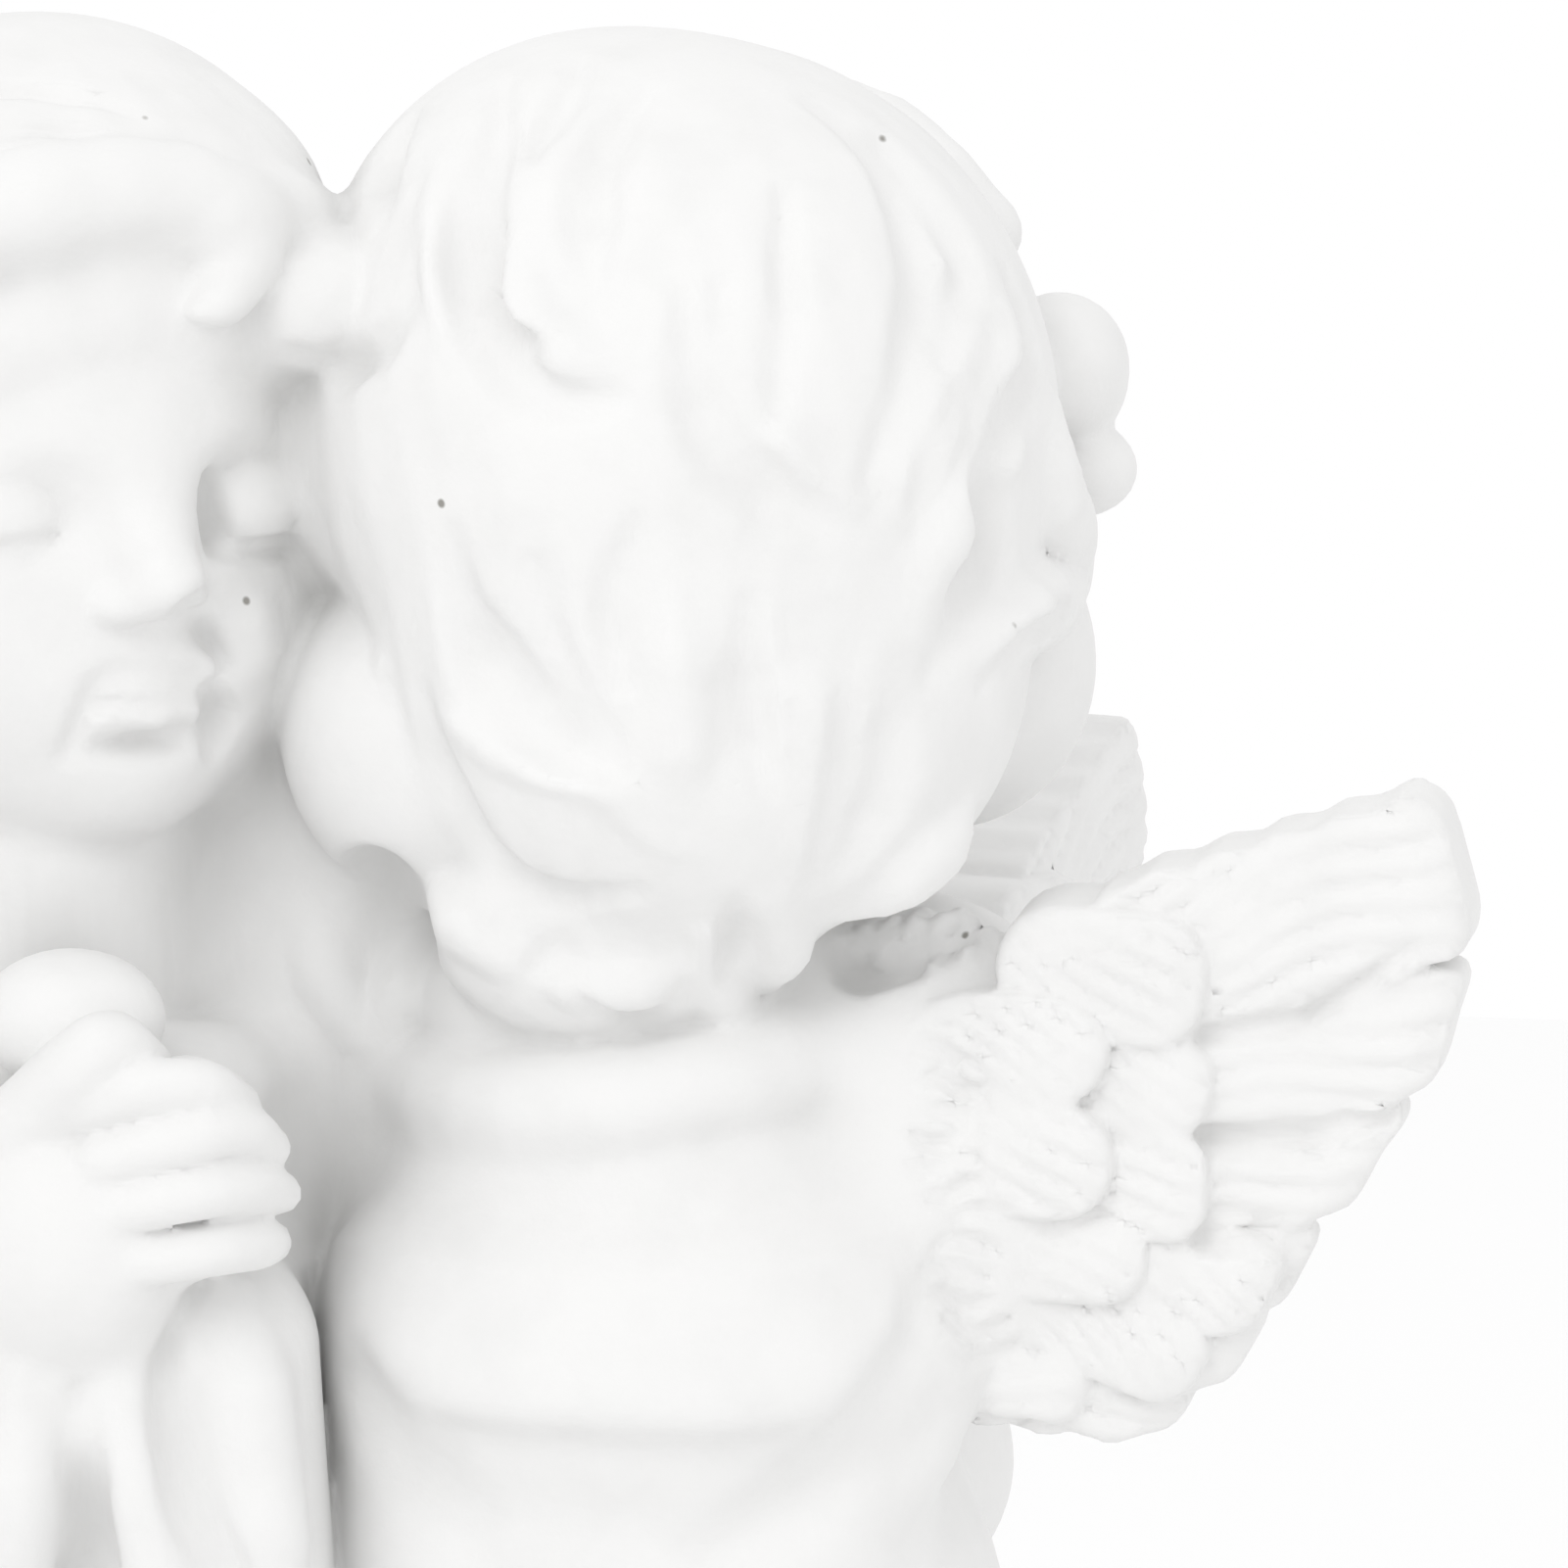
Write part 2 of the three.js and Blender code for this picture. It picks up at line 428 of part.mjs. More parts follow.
function addHair(clay, head) {
  const behind = BEHIND.moved(REAR_HEAD, head);
  const cap = ellipsoid(head.at(0, -0.6, 1.4), [HEAD.hairWidth, HEAD.hairDepth, HEAD.hairHeight], head);
  const [c, s] = [Math.cos(HAIRLINE.slope * DEGREE), Math.sin(HAIRLINE.slope * DEGREE)];
  const distance = (x, y, z) => {
    const offset = plus([x, y, z], head.centre, -1);
    const front = dot(offset, head.axes[1]) * c - dot(offset, head.axes[2]) * s - HAIRLINE.reach;
    return softMax(cap.distance(x, y, z), front, 2);
  };
  clay.add({ low: cap.low, high: cap.high, distance }, 0.6);
  clay.add(ellipsoid(head.at(-3, 0.6, 6.6), [10, 11, 10.6], head), 3);
  clay.add(ellipsoid(head.at(-1, 5.5, 11.5), [9.5, 7, 4.8], head), 2);
  clay.add(ellipsoid(head.at(-0.6, -5, -8.6), [12.8, 9.4, 11], head), 3);
  clay.add(ellipsoid(behind.at(11.8, 79.6, 6.2), [8.2, 5.4, 5.6], head), 1.5);
  for (const [points, radii] of FRINGE) clay.add(strand(points.map((p) => head.at(...p)), radii), 1);
  for (const [place, size] of CURLS) clay.add(ellipsoid(head.at(...place), size, head), 0.7);
  for (const [points, thick] of HAIR_LOCKS) {
    clay.add(strand(behind.on(clay, points, -0.4 * thick), [0.6, thick, thick, 0.5]), 0.6);
  }
  for (const [points, thick] of HAIR_GROOVES) {
    clay.carve(strand(behind.on(clay, points, 0.15 * thick), [0.2, thick, thick, 0.2]), 0.9);
  }
}

// A closed eye: an upper lid that ends at the lash line, over a flatter lower lid
function addEye(clay, head, hand) {
  const size = [EYE.width, EYE.depth, EYE.height];
  const lid = ellipsoid(head.at(EYE.apart * hand, EYE.forward, EYE.up), size, head);
  const distance = (x, y, z) => {
    const up = dot(plus([x, y, z], head.centre, -1), head.axes[2]);
    return softMax(lid.distance(x, y, z), EYE.lash - up, 0.3);
  };
  clay.add({ low: lid.low, high: lid.high, distance }, 0.35);
  clay.add(ellipsoid(head.at(5.3 * hand, 10.7, -1.4), [3, 2.1, 1.5], head), 0.6);
}

// A sleeping child's face: round cheeks and jowls, a small nose and chin, closed lids and a small mouth
function addFace(clay, head) {
  const blob = (at, size, blend) => clay.add(ellipsoid(head.at(...at), size, head), blend);
  const bar = (points, radii) => strand(points.map((p) => head.at(...p)), radii);
  blob([0, 0.6, 0.6], [13.4, 13.6, 14.6], 1);
  blob([0, 4.4, -7.4], [12.6, 9.2, 7.8], 3);
  blob([0, 9.8, -10.2], [3.6, 3.2, 2.9], 2);
  blob([0, 10.6, -6.4], [4.8, 3, 3], 2);
  for (const hand of [-1, 1]) {
    blob([7.2 * hand, 8.8, -5.4], [4, 3.4, 3.6], 2.5);
    clay.carve(ellipsoid(head.at(4.5 * hand, 15, 1), [3.4, 3, 2.6], head), 1.2);
    addEye(clay, head, hand);
    blob([1.3 * hand, 14, -2.9], [1, 1.1, 0.9], 0.5);
  }
  clay.add(bar([[0, 12.4, 3.4], [0, 13.8, 0.8], [0, 15.6, -1.6]], [1.2, 1.1, 1.4]), 1.4);
  clay.add(bar([[-2.6, 12.6, -6.7], [-1, 13.9, -6], [1, 13.9, -6], [2.6, 12.6, -6.7]], [0.3, 0.9, 0.3]), 0.6);
  blob([0, 13.2, -7.8], [1.8, 1.1, 0.8], 0.7);
  clay.carve(bar([[-2.6, 13.1, -7], [-1, 14.5, -6.9], [1, 14.5, -6.9], [2.6, 13.1, -7]], [0.2, 0.4, 0.2]), 0.5);
  blob([-11.2, 0.2, -9.6], [6.4, 6.6, 7.2], 1.5);
  blob([10, 2.2, -9.6], [6.4, 6.4, 7], 1.5);
}

const REAR_HEAD = makeFrame(HEAD.centre, REAR_HEAD_POSE.turn, HEAD.bow, REAR_HEAD_POSE.lean);
const FRONT_HEAD = makeFrame(HEAD.centre, FRONT_HEAD_POSE.turn, HEAD.bow, FRONT_HEAD_POSE.lean);

// The filled hollow between the two children, with its lumps, the same from both sides
const DRIPS = [
  [[[-0.9, 79, 1.6], [-0.4, 76.6, 2.4], [0.8, 74.2, 2.4]], [1.6, 1.7, 1]],
  [[[3.2, 78, 2], [2.8, 75.8, 2.8], [1.8, 74, 2.4]], [1.2, 1.6, 1]],
];
function addBetween(clay) {
  clay.add(ellipsoid([0, 0, 79], [4.6, 3, 14]), 3);
  clay.add(ellipsoid([0, 0, 38], [4, 7, 26]), 2);
  for (const view of [BEHIND, FACING]) {
    clay.carve(ellipsoid(view.at(1.6, 77.4, 8.4), [2.6, 6.6, 4.6]), 0.5);
    for (const [points, radii] of DRIPS) clay.add(strand(points.map((p) => view.at(...p)), radii), 0.4);
  }
}

// The pair: the rear-facing child, the other turned half round, the plaster left between them and the base
function shapePair() {
  const body = new Clay(CHILD_BLOCK);
  addGown(body);
  addFeet(body);
  addBody(body);
  addCollar(body);
  addWing(body, WING);
  addWing(body, FAR_WING);
  addHands(body);
  const pair = new Clay(PAIR_BLOCK);
  for (const [head, turned] of [[REAR_HEAD, false], [FRONT_HEAD, true]]) {
    const hair = new Clay(HEAD_BLOCK);
    const face = new Clay(HEAD_BLOCK);
    addHair(hair, head);
    addFace(face, head);
    face.join(hair, 0.4);
    pair.join(body, 0.5, turned);
    pair.join(face, 0.8, turned);
  }
  addBetween(pair);
  addBase(pair);
  return pair;
}

// The skin where the clay's distance is zero: each cell is cut into six tetrahedra round one diagonal
const TETRAHEDRA = [[0, 5, 1, 6], [0, 1, 2, 6], [0, 2, 3, 6], [0, 3, 7, 6], [0, 7, 4, 6], [0, 4, 5, 6]];
function skinOf(clay) {
  const points = [];
  const faces = [];
  const known = new Map();
  const crossing = (a, b) => {
    const key = a.n < b.n ? a.n * clay.values.length + b.n : b.n * clay.values.length + a.n;
    if (!known.has(key)) {
      const t = clamp(a.value / (a.value - b.value), 0.04, 0.96);
      known.set(key, points.length);
      points.push(a.place.map((v, i) => mix(v, b.place[i], t)));
    }
    return known.get(key);
  };
  const addFacet = ([p, q, r], turned) => faces.push(turned ? [p, r, q] : [p, q, r]);
  // Whether four corners, inner ones first, wind the other way round
  const isTurned = ([a, b, c, d]) => {
    const edges = [b, c, d].map((corner) => new THREE.Vector3(...plus(corner.place, a.place, -1)));
    return edges[0].cross(edges[1]).dot(edges[2]) < 0;
  };
  for (let k = 0; k < clay.counts[2] - 1; k++) {
    for (let j = 0; j < clay.counts[1] - 1; j++) {
      for (let i = 0; i < clay.counts[0] - 1; i++) {
        const cell = CELL.map(([a, b, c]) => clay.index(i + a, j + b, k + c));
        const inside = cell.filter((n) => clay.values[n] < 0).length;
        if (inside === 0 || inside === 8) continue;
        const corners = cell.map((n, at) => {
          const [a, b, c] = CELL[at];
          return { n, value: clay.values[n] || 1e-6, place: clay.place(i + a, j + b, k + c) };
        });
        for (const four of TETRAHEDRA) {
          const inner = four.map((n) => corners[n]).filter((corner) => corner.value < 0);
          const outer = four.map((n) => corners[n]).filter((corner) => corner.value >= 0);
          if (!inner.length || !outer.length) continue;
          const turned = isTurned([...inner, ...outer]);
          if (inner.length === 2) {
            const ring = [[0, 0], [0, 1], [1, 1], [1, 0]].map(([a, b]) => crossing(inner[a], outer[b]));
            addFacet([ring[0], ring[1], ring[2]], turned);
            addFacet([ring[0], ring[2], ring[3]], turned);
          } else if (inner.length === 1) addFacet(outer.map((c) => crossing(inner[0], c)), turned);
          else addFacet(inner.map((c) => crossing(c, outer[0])), turned);
        }
      }
    }
  }
  return { points, faces };
}

// Thins a closed skin by closing up the edges that move the surface least, measured by squared plane distances
class Thinner {
  constructor({ points, faces }) {
    this.points = points;
    this.faces = faces;
    this.around = points.map(() => new Set());
    this.planes = points.map(() => new Float64Array(10));
    this.stamp = new Uint32Array(points.length);
    this.heap = [];
    this.count = faces.length;
    faces.forEach((face, n) => {
      const [normal, area] = this.normalOf(face);
      const plane = [...normal, -dot(normal, points[face[0]])];
      for (const corner of face) {
        this.around[corner].add(n);
        let slot = 0;
        for (let i = 0; i < 4; i++) {
          for (let j = i; j < 4; j++) this.planes[corner][slot++] += plane[i] * plane[j] * area;
        }
      }
    });
    points.forEach((_, n) => this.neighbours(n).forEach((m) => n < m && this.offer(n, m)));
  }
  normalOf([a, b, c], moved = -1, to = null) {
    const [p, q, r] = [a, b, c].map((n) => (n === moved ? to : this.points[n]));
    const [u, v] = [plus(q, p, -1), plus(r, p, -1)];
    const cross = [u[1] * v[2] - u[2] * v[1], u[2] * v[0] - u[0] * v[2], u[0] * v[1] - u[1] * v[0]];
    const length = Math.hypot(...cross);
    return [cross.map((value) => value / (length || 1)), length / 2];
  }
  neighbours(n) {
    const found = new Set();
    for (const face of this.around[n]) this.faces[face].forEach((m) => m !== n && found.add(m));
    return found;
  }
  cost(planes, [x, y, z]) {
    const [xx, xy, xz, xw, yy, yz, yw, zz, zw, ww] = planes;
    const square = xx * x * x + yy * y * y + zz * z * z + ww;
    return square + 2 * (xy * x * y + xz * x * z + yz * y * z + xw * x + yw * y + zw * z);
  }
  offer(a, b) {
    const planes = this.planes[a].map((v, i) => v + this.planes[b][i]);
    const [xx, xy, xz, xw, yy, yz, yw, zz, zw] = planes;
    const middle = this.points[a].map((v, i) => (v + this.points[b][i]) / 2);
    const pull = 1e-3 * (xx + yy + zz) + 1e-9;
    const system = new THREE.Matrix3().set(xx + pull, xy, xz, xy, yy + pull, yz, xz, yz, zz + pull).invert();
    const wanted = [pull * middle[0] - xw, pull * middle[1] - yw, pull * middle[2] - zw];
    const best = new THREE.Vector3(...wanted).applyMatrix3(system).toArray();
    this.push({ a, b, place: best, cost: this.cost(planes, best), stamps: [this.stamp[a], this.stamp[b]] });
  }
  push(entry) {
    const { heap } = this;
    let n = heap.push(entry) - 1;
    while (n && heap[(n - 1) >> 1].cost > entry.cost) {
      heap[n] = heap[(n - 1) >> 1];
      n = (n - 1) >> 1;
    }
    heap[n] = entry;
  }
  pop() {
    const { heap } = this;
    const [top, entry] = [heap[0], heap.pop()];
    let n = 0;
    while (heap.length) {
      let child = 2 * n + 1;
      if (child + 1 < heap.length && heap[child + 1].cost < heap[child].cost) child++;
      if (child >= heap.length || heap[child].cost >= entry.cost) break;
      heap[n] = heap[child];
      n = child;
    }
    if (heap.length) heap[n] = entry;
    return top;
  }
  // An edge can close up when its ends share just two neighbours and no facet folds over or turns to a sliver
  allowed({ a, b, place }) {
    const [nearA, nearB] = [this.neighbours(a), this.neighbours(b)];
    if ([...nearA].filter((n) => nearB.has(n)).length !== 2) return false;
    for (const [end, other] of [[a, b], [b, a]]) {
      for (const n of this.around[end]) {
        const face = this.faces[n];
        if (face.includes(other)) continue;
        const [before] = this.normalOf(face);
        const [after, area] = this.normalOf(face, end, place);
        if (area < 1e-4 || dot(before, after) < 0.3) return false;
      }
    }
    return true;
  }
  close({ a, b, place }) {
    for (const n of [...this.around[b]]) {
      const face = this.faces[n];
      if (face.includes(a)) {
        face.forEach((m) => this.around[m].delete(n));
        this.faces[n] = null;
        this.count--;
      } else {
        face[face.indexOf(b)] = a;
        this.around[a].add(n);
      }
    }
    this.around[b].clear();
    this.points[a] = place;
    this.planes[b].forEach((v, i) => (this.planes[a][i] += v));
    this.stamp[a]++;
    this.stamp[b]++;
    for (const n of this.neighbours(a)) this.offer(a, n);
  }
  thinTo(target) {
    while (this.count > target && this.heap.length > 1) {
      const entry = this.pop();
      if (entry.stamps[0] !== this.stamp[entry.a] || entry.stamps[1] !== this.stamp[entry.b]) continue;
      if (this.around[entry.a].size && this.around[entry.b].size && this.allowed(entry)) this.close(entry);
    }
    const numbers = new Map();
    const faces = this.faces.filter(Boolean);
    faces.flat().forEach((n) => numbers.has(n) || numbers.set(n, numbers.size));
    return {
      vertProperties: new Float32Array([...numbers.keys()].flatMap((n) => this.points[n])),
      triVerts: new Uint32Array(faces.flatMap((face) => face.map((n) => numbers.get(n)))),
    };
  }
}

const wasm = await Module();
wasm.setup();

function solidFrom({ vertProperties, triVerts }) {
  return new wasm.Manifold(new wasm.Mesh({ numProp: 3, vertProperties, triVerts }));
}

// A closed box solid with merged corners
function boxSolid(low, high) {
  const corners = CELL.map((cell) => cell.map((side, axis) => (side ? high[axis] : low[axis])));
  const sides = [[0, 3, 2, 1], [4, 5, 6, 7], [0, 1, 5, 4], [1, 2, 6, 5], [2, 3, 7, 6], [3, 0, 4, 7]];
  const triVerts = new Uint32Array(sides.flatMap(([a, b, c, d]) => [a, b, c, a, c, d]));
  return solidFrom({ vertProperties: new Float32Array(corners.flat()), triVerts });
}

// The thinned skin as a solid, cut off flat at the underside
function castSolid() {
  const thinned = new Thinner(skinOf(shapePair())).thinTo(SKIN_TRIANGLES);
  const below = boxSolid([-60, -60, -20], [60, 60, 0]);
  const bodies = solidFrom(thinned).subtract(below).decompose();
  return bodies.sort((a, b) => b.volume() - a.volume())[0];
}

function meshFrom(name, solid) {
  const { vertProperties, triVerts } = solid.getMesh();
  const geometry = new THREE.BufferGeometry();
  geometry.setAttribute("position", new THREE.BufferAttribute(vertProperties, 3));
  geometry.setIndex(new THREE.BufferAttribute(triVerts, 1));
  geometry.computeVertexNormals();
  const mesh = new THREE.Mesh(geometry, new THREE.MeshStandardMaterial(PLASTER));
  mesh.name = name;
  return mesh;
}

const figurine = new THREE.Group();
figurine.add(meshFrom("cherub_pair", castSolid()));

export default figurine;
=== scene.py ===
# Looks of the cherub pair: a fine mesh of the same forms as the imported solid, with feather barbs, fine locks,
# lids and creases carved in, in matt white plaster, on a pale floor with soft light.
# The forms are shaped in millimetres in a block of clay, which is a grid of distances to the surface. The
# right child is shaped once and the left one is its copy after half a turn, with a head of its own.
import math

import bpy
import numpy as np
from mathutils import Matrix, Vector


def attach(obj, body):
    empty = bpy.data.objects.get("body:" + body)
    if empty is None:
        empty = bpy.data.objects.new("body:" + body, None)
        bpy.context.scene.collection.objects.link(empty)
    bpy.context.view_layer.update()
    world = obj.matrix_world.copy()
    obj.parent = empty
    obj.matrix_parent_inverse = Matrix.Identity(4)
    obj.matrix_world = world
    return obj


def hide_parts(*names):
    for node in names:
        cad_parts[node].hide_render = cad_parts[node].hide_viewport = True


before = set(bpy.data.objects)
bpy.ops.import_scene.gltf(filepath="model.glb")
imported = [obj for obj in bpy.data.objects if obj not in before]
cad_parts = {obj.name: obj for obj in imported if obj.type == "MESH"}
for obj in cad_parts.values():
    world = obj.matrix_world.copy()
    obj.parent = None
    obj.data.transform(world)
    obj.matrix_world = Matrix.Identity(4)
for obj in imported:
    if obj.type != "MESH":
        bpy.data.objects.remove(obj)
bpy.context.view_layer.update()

MM = 0.001
STEP = 0.3
SKIN_TRIANGLES = 190000
PAIR_BLOCK = ((-48, -33, -4), (48, 33, 121))
CHILD_BLOCK = ((-10, -33, -4), (48, 33, 96))
HEAD_BLOCK = ((-10, -24, 72), (40, 24, 121))
CLAY_UNSET = 9.0

BASE = dict(half_length=43, half_width=27, top=6.5, round=2.2)
HEAD_AT = (14, -1.4, 99.3)
HEAD_BOW = 6
HAIR = (15.4, 15.6, 15.8)
REAR_HEAD_TURN, REAR_HEAD_LEAN = 100, 6
FRONT_HEAD_TURN, FRONT_HEAD_LEAN = 120, 0
HAIRLINE_SLOPE, HAIRLINE_REACH = 31, 7.6
COLLAR = dict(at=(11.8, -0.5, 75), half_length=8, half_width=8.8, thick=2.3, drop=0.6, tilt=1.2)
WING_ROOT, WING_TURN, WING_THICK = (22.6, -3.4), -9, 1.2
FAR_WING_ROOT, FAR_WING_TURN, FAR_WING_DROP = (22.6, 4), 68, 2.2
VIEW_RISE = 10.0
VIEW_REACH = 30

WORLD_AXES = np.eye(3)


def soft_min(a, b, blend):
    """The lower of two distances, rounded where they meet."""
    h = np.maximum(blend - np.abs(a - b), 0) / blend
    return np.minimum(a, b) - h * h * (blend * 0.25)


def soft_max(a, b, blend):
    """The higher of two distances, rounded where they meet."""
    return -soft_min(-a, -b, blend)


class Frame:
    """A centre with a right side, a forward and an up axis, turned in plan, bowed forward and leant left."""

    def __init__(self, centre, turn, bow=0.0, lean=0.0):
        c, s = math.cos(math.radians(turn)), math.sin(math.radians(turn))
        cb, sb = math.cos(math.radians(bow)), math.sin(math.radians(bow))
        cl, sl = math.cos(math.radians(lean)), math.sin(math.radians(lean))
        level = np.array([s, -c, 0.0])
        forward = np.array([c * cb, s * cb, -sb])
        upright = np.array([c * sb, s * sb, cb])
        self.centre = np.array(centre, float)
        self.axes = np.array([level * cl + upright * sl, forward, upright * cl - level * sl])

    def at(self, side, forward, up):
        """The point that lies this far to the side, forward and up of the centre."""
        return self.centre + np.array([side, forward, up]) @ self.axes

    def local(self, x, y, z):
        """How far points lie to the side, forward and up of the centre."""
        x, y, z = x - self.centre[0], y - self.centre[1], z - self.centre[2]
        return [axis[0] * x + axis[1] * y + axis[2] * z for axis in self.axes]


class View:
    """The upright plane in which the photo shows one child: across, up and out towards the viewer."""

    def __init__(self, centre, axes):
        self.centre, self.axes = centre, axes

    def moved(self, one, other):
        """The same view of another head as this one is of the first."""
        turned = one.axes.T @ other.axes
        return View(other.centre + (self.centre - one.centre) @ turned, self.axes @ turned)

    def at(self, across, up, near):
        """The point seen at a place in the view, this far in front of the upright plane at its centre."""
        c, s = math.cos(math.radians(VIEW_RISE)), math.sin(math.radians(VIEW_RISE))
        return self.centre + np.array([across, up, (near + up * s) / c]) @ self.axes

    def on(self, clay, points, lift=0.0):
        """Points of the clay's surface seen at these places, raised by the lift."""
        return [clay.touch(self.at(a, b, VIEW_REACH), -self.axes[2]) + self.axes[2] * lift for a, b in points]


def child_view(turn):
    """The view of the right child from behind, or with a turn of -1 from in front."""
    c, s = math.cos(math.radians(VIEW_RISE)), math.sin(math.radians(VIEW_RISE))
    axes = np.array([[turn, 0, 0], [0, turn * s, c], [0, -turn * c, s]])
    return View(np.zeros(3), axes)


class Shape:
    """A distance function with the box that holds its inside."""

    def __init__(self, low, high, distance):
        self.low, self.high, self.distance = np.array(low, float), np.array(high, float), distance


def ellipsoid(centre, size, axes=WORLD_AXES):
    """An egg shape with these half sizes along its axes."""
    centre = np.array(centre, float)
    size = np.array(size, float)
    reach = np.sqrt(((axes * size[:, None]) ** 2).sum(0))

    def distance(x, y, z):
        x, y, z = x - centre[0], y - centre[1], z - centre[2]
        near = far = 0.0
        for axis, radius in zip(axes, size):
            part = (axis[0] * x + axis[1] * y + axis[2] * z) / radius
            near = near + part * part
            far = far + (part / radius) ** 2
        near = np.sqrt(near)
        return near * (near - 1) / (np.sqrt(far) + 1e-9)

    return Shape(centre - reach, centre + reach, distance)


def smooth_path(points, smooth):
    """A Catmull-Rom curve through points."""
    points = np.array(points, float)
    if len(points) == 2:
        return points
    ends = np.vstack([2 * points[0] - points[1], points, 2 * points[-1] - points[-2]])
    out = []
    for n in range(len(points) - 1):
        a, b, c, d = ends[n:n + 4]
        for t in np.arange(smooth) / smooth:
            out.append(0.5 * (2 * b + (c - a) * t + (2 * a - 5 * b + 4 * c - d) * t * t
                              + (3 * b - 3 * c + d - a) * t ** 3))
    return np.array(out + [points[-1]])


def strand(points, radii, smooth=4):
    """A rounded bar through points, whose thickness runs evenly between the radii given."""
    path = smooth_path(points, smooth)
    thick = np.interp(np.linspace(0, 1, len(path)), np.linspace(0, 1, len(radii)), radii)

    def distance(x, y, z):
        best = None
        for a, b, thick_a, thick_b in zip(path, path[1:], thick, thick[1:]):
            u = b - a
            vx, vy, vz = x - a[0], y - a[1], z - a[2]
            t = np.clip((u[0] * vx + u[1] * vy + u[2] * vz) / (u @ u), 0, 1)
            near = np.sqrt((vx - u[0] * t) ** 2 + (vy - u[1] * t) ** 2 + (vz - u[2] * t) ** 2)
            near = near - (thick_a + (thick_b - thick_a) * t)
            best = near if best is None else np.minimum(best, near)
        return best

    return Shape(path.min(0) - max(radii), path.max(0) + max(radii), distance)


def limb(a, b, thick_a, thick_b):
    """A straight rounded bar between two points."""
    return strand([a, b], [thick_a, thick_b])


class Clay:
    """A block of clay: distances to the surface on a grid, below zero inside."""

    def __init__(self, block):
        self.ticks = [np.arange(math.ceil(low / STEP), math.floor(high / STEP) + 1) * STEP
                      for low, high in zip(*block)]
        self.values = np.full([len(t) for t in self.ticks], CLAY_UNSET, np.float32)

    def block(self, shape, reach):
        """The part of the grid round a shape: its spans and its coordinates."""
        spans = []
        for ticks, low, high in zip(self.ticks, shape.low - reach, shape.high + reach):
            spans.append(slice(int(np.searchsorted(ticks, low)), int(np.searchsorted(ticks, high))))
        x, y, z = [ticks[span].astype(np.float32) for ticks, span in zip(self.ticks, spans)]
        return tuple(spans), x[:, None, None], y[None, :, None], z[None, None, :]

    def add(self, shape, blend):
        """Adds a shape, with a fillet of about the blend's size."""
        span, x, y, z = self.block(shape, blend + 2 * STEP)
        self.values[span] = soft_min(self.values[span], shape.distance(x, y, z), blend)

    def carve(self, shape, blend):
        """Cuts a shape away, with rounded edges of about the blend's size."""
        span, x, y, z = self.block(shape, blend + 2 * STEP)
        self.values[span] = soft_max(self.values[span], -shape.distance(x, y, z), blend)

    def join(self, other, blend, turned=False):
        """Adds another block's clay, as it is or after half a turn about the upright axis."""
        ticks, values = other.ticks, other.values
        if turned:
            ticks = [-ticks[0][::-1], -ticks[1][::-1], ticks[2]]
            values = values[::-1, ::-1, :]
        spans = []
        for mine, theirs in zip(self.ticks, ticks):
            first = int(round((theirs[0] - mine[0]) / STEP))
            spans.append(slice(first, first + len(theirs)))
        span = tuple(spans)
        self.values[span] = soft_min(self.values[span], values, blend)

    def touch(self, start, way, far=60.0):
        """The first point below the surface along a way from a start outside."""
        points = start + np.arange(0, far, STEP / 2)[:, None] * way
        low = np.array([ticks[0] for ticks in self.ticks])
        cells = np.rint((points - low) / STEP).astype(int)
        held = np.clip(cells, 0, np.array(self.values.shape) - 1)
        inside = np.flatnonzero((self.values[tuple(held.T)] < 0) & (cells == held).all(1))
        return points[inside[0] if len(inside) else len(points) // 2]


BEHIND, FACING = child_view(1), child_view(-1)


def add_base(clay):
    """The low oval base with a softly rounded rim."""
    def distance(x, y, z):
        oval = np.sqrt((x / BASE["half_length"]) ** 2 + (y / BASE["half_width"]) ** 2)
        rim = (oval - 1) * BASE["half_width"] + BASE["round"] + 0 * z
        lid = z - BASE["top"] + BASE["round"] + 0 * rim
        slab = np.hypot(np.maximum(rim, 0), np.maximum(lid, 0)) + np.minimum(np.maximum(rim, lid), 0)
        return np.maximum(slab - BASE["round"], -z)

    low = (-BASE["half_length"], -BASE["half_width"], 0)
    clay.add(Shape(low, (BASE["half_length"], BASE["half_width"], BASE["top"]), distance), 0.2)


# Oval sections of the gown from the hem up: height, middle, half length and half width
GOWN = np.array([
    (3, 17, -1.5, 21.6, 19.4),
    (12, 16.8, -1.4, 20.6, 18.2),
    (24, 16.2, -1, 18.6, 16),
    (36, 15.2, -0.6, 17, 14.2),
    (46, 13.6, -0.2, 15.4, 13),
    (54, 12.9, 0, 13.9, 12.4),
    (60, 12.4, 0, 12.2, 11.6),
    (66, 12.2, 0, 11.4, 11),
])
GOWN_TOP, GOWN_BOTTOM = 66, 3
GOWN_FOLDS, GOWN_FOLD_DEPTH = 9, 1.5
GOWN_PLAIN_TOP, GOWN_FOLD_REACH = 14, 32


def add_gown(clay):
    """The long gown, whose upright folds deepen towards the hem."""
    def distance(x, y, z):
        cx, cy, half_length, half_width = [np.interp(z, GOWN[:, 0], column) for column in GOWN.T[1:]]
        around = np.arctan2(y - cy, x - cx)
        depth = GOWN_FOLD_DEPTH * np.clip((GOWN_TOP - GOWN_PLAIN_TOP - z) / GOWN_FOLD_REACH, 0, 1)
        wave = np.sin(GOWN_FOLDS * around + 0.045 * z) + 0.5 * np.sin(5 * around - 0.06 * z + 1)
        oval = np.hypot((x - cx) / half_length, (y - cy) / half_width)
        wall = (oval - 1) * half_width - depth * 0.6 * wave
        return np.maximum(np.maximum(wall, z - GOWN_TOP), GOWN_BOTTOM - z)

    clay.add(Shape((-6, -23, GOWN_BOTTOM), (44, 23, GOWN_TOP), distance), 3)


